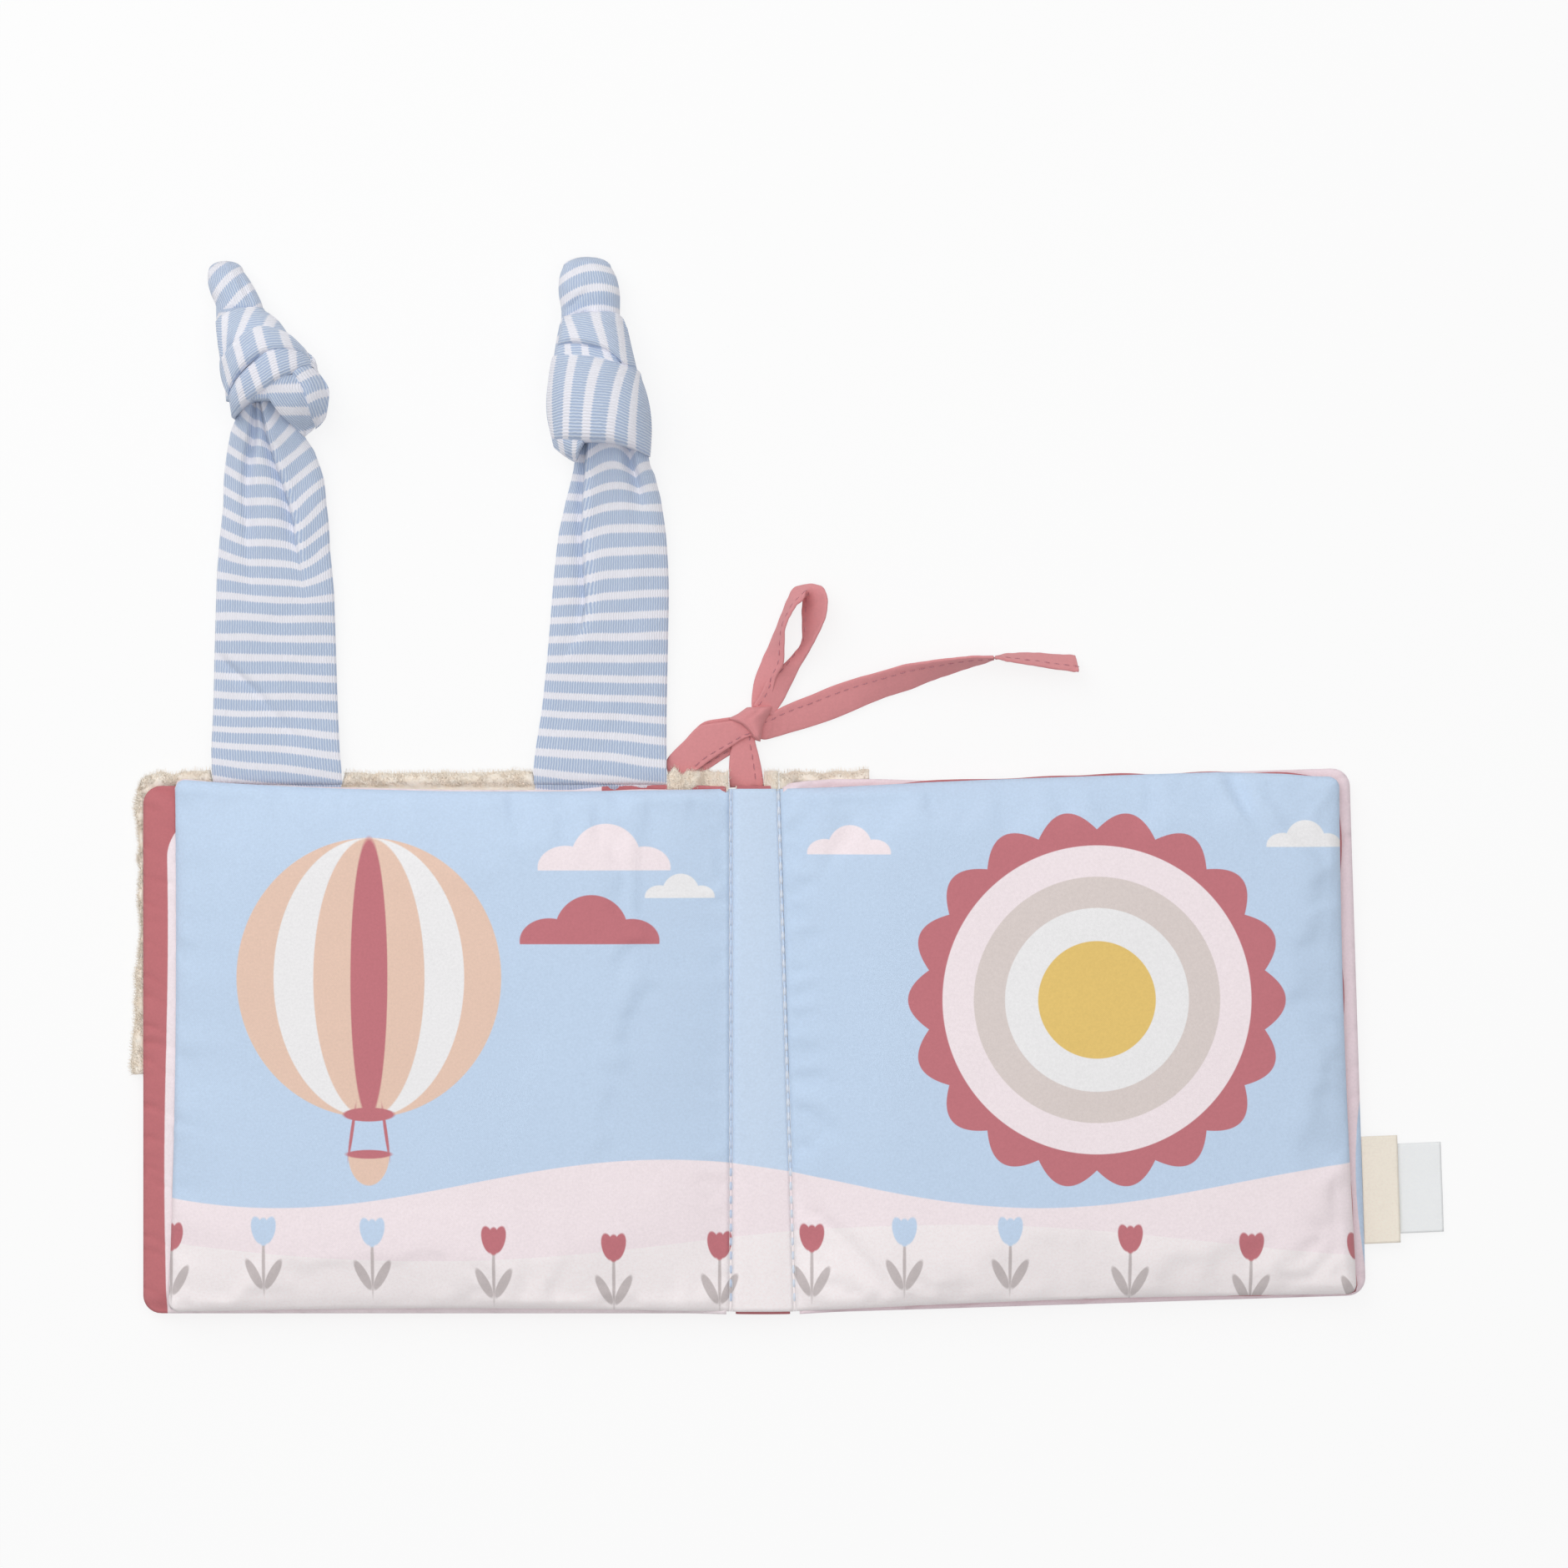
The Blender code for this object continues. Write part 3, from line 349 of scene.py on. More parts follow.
class PagePrint:
    """Lays printed shapes over a sky ground, in millimetres of the open book."""

    def __init__(self, name):
        self.material, self.g, self.shader, self.place = cloth(name, 0.72, 0.12)
        scaled = self.g.node("ShaderNodeVectorMath", {0: self.place, 1: (1 / MM, 1 / MM, 0)},
                             operation="MULTIPLY")
        self.page = scaled.outputs[0]
        parts = self.g.node("ShaderNodeSeparateXYZ", {0: self.page})
        self.x, self.y = parts.outputs["X"], parts.outputs["Y"]
        self.ink = SKY

    def ellipse(self, x, y, half_width, half_height, degrees=0, page=None):
        made = self.g.group(shape_group, {
            "Place": page or self.page, "Centre": (x, y, 0), "Half width": half_width,
            "Half height": half_height, "Turn": math.radians(-degrees)})
        return made.outputs["Mask"]

    def lay(self, mask, colour):
        """Print one more shape over what is there."""
        self.ink = self.g.mix(mask, self.ink, colour)

    def joined(self, masks):
        whole = masks[0]
        for mask in masks[1:]:
            whole = self.g.math("MAXIMUM", whole, mask)
        return whole

    def cloud(self, x, y, size, colour):
        """Three puffs on a flat base."""
        puffs = self.joined([self.ellipse(x - size, y, 0.8 * size, 0.62 * size),
                             self.ellipse(x + 0.15 * size, y + 0.25 * size, size, size),
                             self.ellipse(x + 1.25 * size, y, 0.75 * size, 0.6 * size)])
        base = self.g.over(self.g.minus(self.y, y - 0.1 * size), EDGE,
                           clamp=True)
        self.lay(self.g.times(puffs, base), colour)

    def hill(self, level, height, length, phase, colour):
        """Ground below a gentle wave."""
        turn = self.g.plus(self.g.over(self.x, length), phase)
        top = self.g.plus(self.g.times(self.g.math("SINE", turn), height), level)
        self.lay(self.g.over(self.g.minus(top, self.y), EDGE, clamp=True),
                 colour)

    def sun(self, x, y):
        """Rings with a scalloped edge."""
        g = self.g
        away_x, away_y = g.minus(self.x, x), g.minus(self.y, y)
        away = g.math("SQRT", g.plus(g.times(away_x, away_x),
                                     g.times(away_y, away_y)))
        ripple = g.math("COSINE", g.times(g.math("ARCTAN2", away_y, away_x), 9.0))
        edge = g.plus(g.times(g.math("ABSOLUTE", ripple), 5.0), 46.5)
        self.lay(g.over(g.minus(edge, away), EDGE, clamp=True), ROSE)
        for radius, colour in ((42.0, PINK), (33.5, GREIGE), (25.0, WHITE), (16.0, OCHRE)):
            self.lay(self.ellipse(x, y, radius, radius), colour)

    def balloon(self, x, y):
        for share, colour in ((1.0, BEIGE), (0.72, WHITE), (0.42, BEIGE), (0.14, ROSE)):
            self.lay(self.ellipse(x, y, 36 * share, 38), colour)
        for side in (-1, 1):
            self.lay(self.ellipse(x + side * 4.6, y - 42, 0.45, 7, side * 8), ROSE)
        self.lay(self.ellipse(x, y - 37.2, 7, 1.9), ROSE)
        below = self.g.over(self.g.minus(y - 48, self.y), EDGE, clamp=True)
        basket = self.ellipse(x, y - 48, 5.6, 8.5)
        self.lay(self.g.times(basket, below), BEIGE)
        self.lay(self.ellipse(x, y - 48, 6.2, 1.2), ROSE)

    def tulips(self, spacing=29.0, base=-60.0):
        """One tulip, repeated along the page and swayed a little each time."""
        g = self.g
        number = g.math("FLOOR", g.over(self.x, spacing))
        sway = g.math("SINE", g.times(number, 7.3))
        local_x = g.minus(self.x, g.times(g.plus(number, 0.5), spacing))
        local_x = g.plus(local_x, g.times(sway, 4.5))
        local_y = g.minus(self.y, g.plus(g.times(sway, 2.5), base))
        local = g.node("ShaderNodeCombineXYZ", {0: local_x, 1: local_y}).outputs[0]
        self.lay(self.joined([self.ellipse(0, 0, 0.45, 8, 0, local),
                              self.ellipse(-2.6, -3, 1.3, 4.6, 28, local),
                              self.ellipse(2.6, -3, 1.3, 4.6, -28, local)]), SAGE)
        bloom = self.joined([self.ellipse(-1.5, 9, 1.7, 3.8, 14, local),
                             self.ellipse(1.5, 9, 1.7, 3.8, -14, local),
                             self.ellipse(0, 8.6, 1.7, 3.8, 0, local)])
        colour = g.mix(g.math("GREATER_THAN", sway, 0.2), ROSE, SKY)
        self.lay(bloom, colour)

    def finish(self):
        self.hill(-36.0, 6.5, 33.0, 2.4, PINK)
        self.hill(-52.0, 5.0, 46.0, 0.4, srgb(255, 247, 248))
        self.tulips()
        dye(self.g, self.shader, self.place, self.ink, 0.16)
        return self.material


left = PagePrint("left page print")
for x, y, size, colour in ((-43, 50, 9.5, PINK), (-47, 30, 10.0, ROSE), (-22, 42, 5.0, WHITE)):
    left.cloud(x, y, size, colour)
left.balloon(-106.0, 20.0)
left_print = left.finish()

right = PagePrint("right page print")
right.sun(92.0, 14.0)
right.cloud(148, 56, 5.5, WHITE)
right.cloud(24, 54, 6.0, PINK)
right_print = right.finish()

gutter = PagePrint("gutter print")
# The band's sky is painted lighter than the pages' sky: painted light on the band's swell between the
# seams.
gutter.ink = srgb(210, 228, 250)
gutter_print = gutter.finish()

# %% [markdown]
# The plain cottons have one ink each. The front cover's lining is rose with a pale pink
# wavy shape; the back cover's lining is pale pink with blue patches near its side.

# %% Plain and lining cottons
HEAD_FROM = 68


def plain_cotton(name, ink):
    material, g, shader, place = cloth(name, 0.8, 0.12)
    dye(g, shader, place, ink)
    return material


rose_cotton = plain_cotton("rose cotton", srgb(202, 120, 126))
pink_cotton = plain_cotton("pale pink cotton", srgb(249, 232, 237))
wadding_cloth = plain_cotton("wadding", srgb(245, 245, 242))


def lining_cotton(name, ground, patch, centre_u, swing, length, top, round_off, head_from):
    """Ground colour on one side of a wavy line along the cover's side, patch on the other."""
    material, g, shader, place = cloth(name, 0.8, 0.12)
    parts = g.node("ShaderNodeSeparateXYZ", {0: place})
    wave = g.math("SINE", g.over(parts.outputs["Y"], length * MM))
    line = g.plus(g.times(wave, swing * MM), centre_u * MM)
    above = g.math("MAXIMUM", g.minus(parts.outputs["Y"], top * MM), 0.0)
    bend = g.times(g.times(above, above), round_off / MM)
    away = g.minus(parts.outputs["X"], g.plus(line, bend))
    colour = g.mix(g.over(away, EDGE * MM, clamp=True), ground, patch)
    by_spine = g.math("GREATER_THAN", parts.outputs["X"], head_from * MM)
    at_head = g.math("GREATER_THAN", parts.outputs["Y"], HEAD_FROM * MM)
    colour = g.mix(g.times(by_spine, at_head), colour, ground)
    dye(g, shader, place, colour)
    return material


front_lining_cotton = lining_cotton("front lining cotton", srgb(200, 118, 123), PINK,
                                    -162.1, 0.5, 21.0, 52.5, 0.05, -43.0)
back_lining_cotton = lining_cotton("back lining cotton", srgb(249, 230, 237), SKY,
                                   166.4, 3.2, 20.0, 34.0, 0.02, 0.0)

# %% [markdown]
# A padded panel is two layers of cloth sewn together round the edge, with wadding between.
# Both layers start as grids of points over the panel. Joined at the edge they make a closed
# case, and Blender's cloth blows it up a little while its sewn edge is pinned. The cloth is
# a touch larger than its seam, so it gathers into the small puckers of real padding.

# %% Grids and shells


def clamp(value):
    return min(1, max(0, value))


def steps(start, end, size):
    """Places from start to end, about `size` apart."""
    count = max(1, round((end - start) / size))
    return [start + (end - start) * k / count for k in range(count + 1)]


def ease(distance, run):
    """A quarter sine: 0 at the edge, 1 from `run` inwards."""
    return math.sin(math.pi / 2 * clamp(distance / run))


def roll_in(share):
    """A quarter circle: 0 at a rolled edge, 1 from a full share inwards."""
    return math.sqrt(max(0.0, 1 - (1 - min(1, share)) ** 2))


def rough(x, y, z):
    """Smooth noise between -1 and 1."""
    return noise.noise(Vector((x, y, z)))


def read_table(table, place):
    """The value of a table of (place, value) pairs, on straight lines between them."""
    for (a, first), (b, second) in zip(table, table[1:]):
        if place <= b:
            return first + (second - first) * max(0, (place - a) / (b - a))
    return table[-1][1]


def spline(a, b, c, d, t):
    """A value between b and c, on a smooth curve through all four."""
    return 0.5 * (2 * b + (c - a) * t + (2 * a - 5 * b + 4 * c - d) * t * t
                  + (3 * b - a - 3 * c + d) * t ** 3)


def smooth_rows(rows, count):
    """Rows of numbers with `count` steps between every two, on smooth curves."""
    ends = [[2 * a - b for a, b in zip(rows[0], rows[1])]] + rows
    ends.append([2 * a - b for a, b in zip(rows[-1], rows[-2])])
    made = []
    for four_rows in zip(ends, ends[1:], ends[2:], ends[3:]):
        for step in range(count):
            made.append([spline(*four, step / count) for four in zip(*four_rows)])
    return made + [rows[-1]]


def oval(sides, wide, high):
    """Places round a flat tube, as shares of its half width and half height."""
    for k in range(sides):
        angle = 2 * math.pi * (k + 0.5) / sides
        yield (math.copysign(abs(math.cos(angle)) ** wide, math.cos(angle)),
               math.copysign(abs(math.sin(angle)) ** high, math.sin(angle)))


def lowered(grid, distance):
    return [[point - Vector((0, 0, distance)) for point in row] for row in grid]


def shell_mesh(name, top, bottom):
    """A closed shell from two grids of points that face each other."""
    rows, columns = len(top), len(top[0])
    lower = rows * columns
    faces = []
    for i in range(rows - 1):
        for j in range(columns - 1):
            a, b = i * columns + j, (i + 1) * columns + j
            faces.append((a, b, b + 1, a + 1))
            faces.append((lower + a, lower + a + 1, lower + b + 1, lower + b))
    edge = ([(i, 0) for i in range(rows - 1)] + [(rows - 1, j) for j in range(columns - 1)]
            + [(i, columns - 1) for i in range(rows - 1, 0, -1)]
            + [(0, j) for j in range(columns - 1, 0, -1)])
    for (i, j), (k, m) in zip(edge, edge[1:] + edge[:1]):
        a, b = i * columns + j, k * columns + m
        faces.append((b, a, lower + a, lower + b))
    mesh = bpy.data.meshes.new(name)
    mesh.from_pydata([point for row in top + bottom for point in row], [], faces)
    return mesh


def turn_outwards(mesh):
    """Merge doubled points and point every face outwards."""
    bm = bmesh.new()
    bm.from_mesh(mesh)
    bmesh.ops.remove_doubles(bm, verts=bm.verts, dist=0.001 * MM)
    bmesh.ops.recalc_face_normals(bm, faces=bm.faces)
    bm.to_mesh(mesh)
    bm.free()
    mesh.shade_smooth()


def add_piece(name, mesh, material, body, replaced=()):
    """Put a finished mesh in the scene as a piece that rides on its body.
    """
    turn_outwards(mesh)
    mesh.materials.clear()
    mesh.materials.append(material)
    piece = bpy.data.objects.new(name, mesh)
    bpy.context.scene.collection.objects.link(piece)
    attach(piece, body)
    if replaced:
        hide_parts(*replaced)
    mesh.calc_loop_triangles()
    print(name, len(mesh.loop_triangles), "triangles")
    return piece



# %% [markdown]
# The simulation works on both grids at once. A cap keeps each point near its place in the
# frame, because the real pages lie close together and a fuller case would cut into them.

# %% Blow up a padded case
FRAMES = 16
SINK = 0.25 * MM
SEWN_COTTON = {
    "quality": 5, "mass": 0.1, "tension_stiffness": 15, "compression_stiffness": 15,
    "shear_stiffness": 5, "bending_stiffness": 0.3, "vertex_group_mass": "sewn edge",
    "use_pressure": True, "uniform_pressure_force": 3.0, "shrink_min": -0.012,
}


def inflate(name, top, bottom, cap):
    """Blow up the case between two grids, its edge pinned; returns both grids as they settle."""
    rows, columns = len(top), len(top[0])
    lower = rows * columns
    mesh = shell_mesh(name, top, bottom)
    case = bpy.data.objects.new(name, mesh)
    bpy.context.scene.collection.objects.link(case)
    pinned = case.vertex_groups.new(name="sewn edge")
    for i in range(rows):
        for j in range(columns):
            if i in (0, rows - 1) or j in (0, columns - 1):
                pinned.add([i * columns + j, lower + i * columns + j], 1, "REPLACE")
    modifier = case.modifiers.new("cloth", "CLOTH")
    for setting, value in SEWN_COTTON.items():
        setattr(modifier.settings, setting, value)
    modifier.settings.effector_weights.gravity = 0
    modifier.point_cache.frame_start = 1
    modifier.point_cache.frame_end = FRAMES
    for moment in range(1, FRAMES + 1):
        bpy.context.scene.frame_set(moment)
    settled = case.evaluated_get(bpy.context.evaluated_depsgraph_get())
    moved = [v.co.copy() for v in settled.data.vertices]
    rest = [v.co.copy() for v in mesh.vertices]
    bpy.context.scene.frame_set(1)
    bpy.data.objects.remove(case, do_unlink=True)

    def capped(index):
        offset = moved[index] - rest[index]
        offset.z = max(offset.z, -SINK) if index < lower else min(offset.z, SINK)
        if offset.length > cap:
            offset = offset * (cap / offset.length)
        return rest[index] + offset

    return [[[capped(base + i * columns + j) for j in range(columns)] for i in range(rows)]
            for base in (0, lower)]


def finer(grid):
    """A smooth grid with a point between every two, by Catmull-Rom in both directions."""
    def along_row(row):
        ends = [row[0] * 2 - row[1]] + list(row) + [row[-1] * 2 - row[-2]]
        made = []
        for a, b, c, d in zip(ends, ends[1:], ends[2:], ends[3:]):
            made += [b, (b + c) * 0.5625 - (a + d) * 0.0625]
        return made + [row[-1]]

    rows = [along_row(row) for row in grid]
    columns = [along_row(list(column)) for column in zip(*rows)]
    return [list(row) for row in zip(*columns)]


# %% [markdown]
# The leaves are the two pages that turn. Their printed face is a cushion: low along the
# page seam, full in the middle and flat again at the sewn edge. Puckers run in from every
# edge and fade after a finger's width.

# %% Leaf shapes
LEAF_CROWN = 6.4 * MM
LEAF_CROWN_RUN = 45.0 * MM
LEAF_EDGE = 2.6 * MM
LEAF_EDGE_RUN = 25.0 * MM
LEAF_CORNER = 3.0 * MM
LEAF_PULL = 1.0 * MM
ROLL = 1.5 * MM
ROLL_RUN = 5.0 * MM
LEAF_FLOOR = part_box("left_leaf_reverse")[0][2]
CLOTH = 0.5 * MM
SIM_GRID = 2.4 * MM
SEAM_START = 0.45 * MM
REVERSE_START = 10.5 * MM
WADDING_START = 14.0 * MM
PUCKER_REACH = 9 * MM
PUCKER_DEPTH = 1.25 * MM
SWAY_DEPTH = 0.7 * MM
SLIP_WAVE = 16 * MM
CREASE_DEPTH = 0.35 * MM
CREASE_WIDTH = 0.13
CASE_CAP = 0.9 * MM


def round_corner(u, v, width, half, radius):
    over_u = u - (width - radius)
    over_v = abs(v) - (half - radius)
    if over_u <= 0 or over_v <= 0:
        return u, v
    scale = max(over_u, over_v) / math.hypot(over_u, over_v)
    return width - radius + over_u * scale, math.copysign(half - radius + over_v * scale, v)


def pucker(u, v, seed):
    """Small gathers that run in from the head, the foot and the side."""
    head = math.exp(-(LEAF_HALF - abs(v)) / PUCKER_REACH)
    side = math.exp(-(LEAF_WIDTH - u) / PUCKER_REACH)
    across = rough(u / (7 * MM), seed, v / (40 * MM))
    along = rough(seed, v / (7 * MM), u / (40 * MM))
    return PUCKER_DEPTH * (head * across + side * along) \
        + SWAY_DEPTH * rough(u / (30 * MM), v / (30 * MM), seed)


def crease(along, inwards, pitch, seed):
    """Sharp little folds, 1 in their lines and 0 between them."""
    value = rough(along / pitch, inwards / (4 * pitch), seed)
    return max(0, 1 - abs(value) / CREASE_WIDTH)


def under_crown(z):
    """Heights ease off below the crown, so that a page stays clear of the one it closes on."""
    soft = 0.9 * MM
    room = SEAM_HEIGHT + LEAF_CROWN - soft
    return z if z < room else room + soft * math.tanh((z - room) / soft)


# Each fold starts at a place on the rim and fades out at a second one; then come its width
# and its depth, all in millimetres.
DRAG_FOLDS = (
    (-69.3, 71.5, -66.8, 58.0, 1.6, 0.5), (-121.0, 72.0, -119.0, 63.0, 1.6, 0.35),
    (128.5, 71.0, 136.5, 57.0, 2.0, 0.8), (134.0, 61.0, 144.5, 44.0, 2.8, 0.55),
    (105.0, 72.0, 105.8, 60.0, 1.6, 0.4), (160.5, 8.0, 147.0, 11.0, 1.7, 0.5),
    (160.5, -6.0, 149.0, -4.0, 1.6, 0.4), (159.0, 38.0, 148.0, 36.0, 1.8, 0.4),
    (-163.0, -20.0, -151.0, -22.0, 1.6, 0.35), (-162.0, 26.0, -150.0, 27.5, 1.6, 0.3),
)


def dragged(point):
    """Height that the drag folds add; each one fades from its first place to its second."""
    height = 0
    for x, y, far_x, far_y, width, depth in DRAG_FOLDS:
        run_x, run_y = far_x - x, far_y - y
        length = math.hypot(run_x, run_y)
        away_x, away_y = point.x / MM - x, point.y / MM - y
        t = (away_x * run_x + away_y * run_y) / length ** 2
        off = (away_x * run_y - away_y * run_x) / length / width
        height += 1.65 * depth * off * math.exp(-off ** 2) * min(1, max(0, 1 - t) * 1.6)
    return height * MM


LEFT_HEAD = ((0, 0), (20, 0.4), (50, 0.85), (77, 1.0), (105, 0.85), (135, 0.4), (153.7, 0))
RIGHT_HEAD = ((0, 0), (14, 0), (28, -0.2), (40, -0.5), (57, -0.7), (86, -0.8), (120, -0.8),
              (138, 0.2), (147, 1.2), (153.7, 1.5))


def leaf_points(half, seed, lift, lean, head):
    """Both grids of a leaf: the printed face and the reverse."""
    top, bottom = [], []
    for u in steps(SEAM_START, LEAF_WIDTH, SIM_GRID):
        upper, lower = [], []
        out = u / LEAF_WIDTH
        for v in steps(-LEAF_HALF, LEAF_HALF, SIM_GRID):
            up = v / LEAF_HALF
            round_u, round_v = round_corner(u, v, LEAF_WIDTH, LEAF_HALF, LEAF_CORNER)
            by_side, by_end = LEAF_WIDTH - round_u, LEAF_HALF - abs(round_v)
            pull = read_table(head, u / MM) * MM if v > 0 else LEAF_PULL * math.sin(math.pi * out)
            pull_v = pull * up ** 3 - lift * out ** 3 * (0.5 + 0.5 * up) ** 2
            pull_u = (LEAF_PULL * math.cos(math.pi / 2 * up) + lean * (1 + up)) * out ** 5
            crown = SEAM_HEIGHT + LEAF_CROWN * ease(round_u, LEAF_CROWN_RUN)
            edge = min(crown, SEAM_HEIGHT + LEAF_EDGE)
            swell = ease(by_end, LEAF_EDGE_RUN) * ease(by_side, LEAF_EDGE_RUN)
            fade = ease(u, 12 * MM) * ease(LEAF_WIDTH - u, 2 * MM) * ease(LEAF_HALF - abs(v), 2 * MM)
            height = edge + (crown - edge) * swell + fade * pucker(u, v, seed)
            gather = rough(u / (30 * MM), v / (5 * MM), seed + 2)
            height += 0.5 * MM * gather * ease(u, 3 * MM) * math.exp(-u / PUCKER_REACH)
            height -= ROLL * (1 - roll_in(min(by_side, by_end) / ROLL_RUN)) * ease(u, 6 * MM)
            rim = max(0, edge - CLOTH * 3 - LEAF_FLOOR)
            floor = LEAF_FLOOR + rim * (1 - ease(min(by_side, by_end), 8 * MM))
            upper.append(half.place(round_u - pull_u, round_v - pull_v, height))
            lower.append(half.place(round_u - pull_u, round_v - pull_v,
                                    min(floor, height - 2 * CLOTH)))
        top.append(upper)
        bottom.append(lower)
    return top, bottom


def leaf_rims(grid, half, seed, peek):
    """The reverse slips out past the face by up to `peek`, less at the foot."""
    last_u, last_v = len(grid) - 1, len(grid[0]) - 1
    made = []
    for i, row in enumerate(grid):
        slips = [rough(i * SIM_GRID / SLIP_WAVE, j * SIM_GRID / SLIP_WAVE, seed + 1)
                 for j in range(len(row))]
        made.append([point + (half.out * (i == last_u) + half.along * ((j == last_v) - 0.4 * (j == 0)))
                     * peek * max(0, slips[j] + 0.15) for j, point in enumerate(row)])
    return made


def leaf_creases(grid, half, seed):
    """Sharp creases along the page's rims and its seam, and the drag folds."""
    for row in grid:
        for point in row:
            u, v = half.read(point)
            by_side, by_end = max(0, LEAF_WIDTH - u), max(0, LEAF_HALF - abs(v))
            fold = max(crease(v, by_side, 6 * MM, seed) * math.exp(-by_side / (6 * MM)),
                       crease(u, by_end, 7 * MM, seed + 4) * math.exp(-by_end / (6 * MM)),
                       crease(v, u, 6 * MM, seed + 7) * math.exp(-u / (5 * MM)) * ease(u, 2 * MM))
            inside = ease(min(by_side, by_end), 1.5 * MM)
            point.z = under_crown(point.z + (dragged(point) - CREASE_DEPTH * fold) * inside)


def with_heights(grid, other, height):
    """A grid with new heights, each worked out from its own and from the other grid's."""
    return [[Vector((p.x, p.y, height(p.z, q.z))) for p, q in zip(row, facing)]
            for row, facing in zip(grid, other)]


def make_leaf(side, half, page_print, reverse_cloth, seed, lift, lean, head, peek):
    """Printed face, wadding and reverse of one page."""
    body = side + "_leaf"
    top, bottom = leaf_points(half, seed, lift, lean, head)
    top, bottom = inflate(side + " leaf case", top, bottom, CASE_CAP)
    top = with_heights(top, top, lambda z, same: under_crown(z))
    bottom = with_heights(leaf_rims(bottom, half, seed, peek), top,
                          lambda z, above: max(min(z, above - 2 * CLOTH), LEAF_FLOOR))
    fine = finer(top)
    leaf_creases(fine, half, seed)
    add_piece(side + "_page_face", shell_mesh("face", fine, lowered(fine, CLOTH)),
              page_print, body, [body + "_picture"])
    raised = with_heights(bottom, top, lambda z, above: z + max(
        0.1 * MM, min(CLOTH, above - z - CLOTH - 0.45 * MM)))
    first = round(REVERSE_START / SIM_GRID)
    add_piece(side + "_page_reverse", shell_mesh("reverse", raised[first:], bottom[first:]),
              reverse_cloth, body, [body + "_reverse"])
    rows, columns = slice(round(WADDING_START / SIM_GRID) + 3, -3), slice(3, -3)
    upper = lowered([row[columns] for row in top[rows]], 2 * CLOTH)
    lower = lowered([row[columns] for row in bottom[rows]], -2 * CLOTH)
    add_piece(side + "_page_wadding", shell_mesh("wadding", upper, lower),
              wadding_cloth, body, [body + "_wadding"])


make_leaf("left", LEFT, left_print, pink_cotton, 3.1, 2.6 * MM, 0.9 * MM,
          LEFT_HEAD, 0.5 * MM)
make_leaf("right", RIGHT, right_print, rose_cotton, 8.7, 0.0, 0.2 * MM,
          RIGHT_HEAD, 1.0 * MM)

# %% [markdown]
# Between the two page seams the printed cloth runs on as a narrow band over the spine. It
# swells a little between the seams, and each stitch draws it in.

# %% Gutter band
STITCH_PITCH = 3.8 * MM
BAND_THICKNESS = 0.4 * MM


def seam_x(half, v):
    return half.place(0, v, 0).x


def between_seams(vs, inset, height):
    """A grid across the spine; the height is read from the distances to both of its edges."""
    grid = []
    for share in steps(0, 1, 0.05):
        row = []
        for v in vs:
            start, end = seam_x(LEFT, v) + inset, seam_x(RIGHT, v) - inset
            x = start + (end - start) * share
            row.append(Vector((x, v, height(x - start, end - x, v))))
        grid.append(row)
    return grid


def band_height(from_left, from_right, v):
    inside = min(from_left, from_right)
    drawn = math.exp(-inside / (2.2 * MM)) * math.cos(2 * math.pi * v / STITCH_PITCH)
    x = seam_x(LEFT, v) + SEAM_START + from_left
    fold = rough(x / (6 * MM), v / (13 * MM), 4.4)
    return SEAM_HEIGHT + (0.02 * MM + 1.0 * MM * ease(from_left, 2.2 * MM) * ease(from_right, 8 * MM)
                          + ease(inside, 2 * MM) * (0.12 * MM * drawn + 0.12 * MM * fold))


band = between_seams(steps(-LEAF_HALF, LEAF_HALF, 1.2 * MM), SEAM_START, band_height)
add_piece("gutter_cloth", shell_mesh("band", band, lowered(band, BAND_THICKNESS)), gutter_print,
          "spine", ["gutter_band"])

# %% [markdown]
# A stitch is modelled once: a short round thread that goes down at both ends. Copies of it
# make every sewn row of the book. Under each seam row lies the narrow fold of printed cloth
# that the stitches pinch, so no gap shows between a page and the gutter.

# %% Stitches and seam folds


def thread_material(name, ink):
    material, g, shader, place = cloth(name, 0.6, 0.2)
    twist = g.node("ShaderNodeTexWave", {"Vector": place, "Scale": 900.0, "Distortion": 1.5})
    colour = g.mix(g.times(twist.outputs["Fac"], 0.25), ink, (1, 1, 1, 1))
    g.feed(shader.inputs["Base Color"], colour)
    bump(g, shader, twist.outputs["Fac"], 0.3, 0.05 * MM)
    return material


left_thread = thread_material("sky blue thread", srgb(196, 214, 241))
right_thread = thread_material("pale blue thread", srgb(222, 232, 247))

bpy.ops.mesh.primitive_uv_sphere_add(segments=8, ring_count=6, radius=0.5)
pattern = bpy.context.active_object
bpy.ops.object.mode_set(mode="EDIT")
bpy.ops.mesh.select_all(action="SELECT")
bpy.ops.transform.resize(value=(0.26, 1.0, 0.26))
bpy.ops.object.mode_set(mode="OBJECT")
for vert in pattern.data.vertices:
    vert.co.z -= 0.35 * vert.co.y ** 2
stitch_points = [v.co.copy() for v in pattern.data.vertices]
stitch_faces = [tuple(face.vertices) for face in pattern.data.polygons]
bpy.data.objects.remove(pattern, do_unlink=True)


def copies(name, points, faces, places):
    """One mesh of many copies, each placed by its own matrix."""
    all_points, all_faces = [], []
    for matrix in places:
        base = len(all_points)
        all_points += [matrix @ point for point in points]
        all_faces += [tuple(base + k for k in face) for face in faces]
    mesh = bpy.data.meshes.new(name)
    mesh.from_pydata(all_points, [], all_faces)
    return mesh


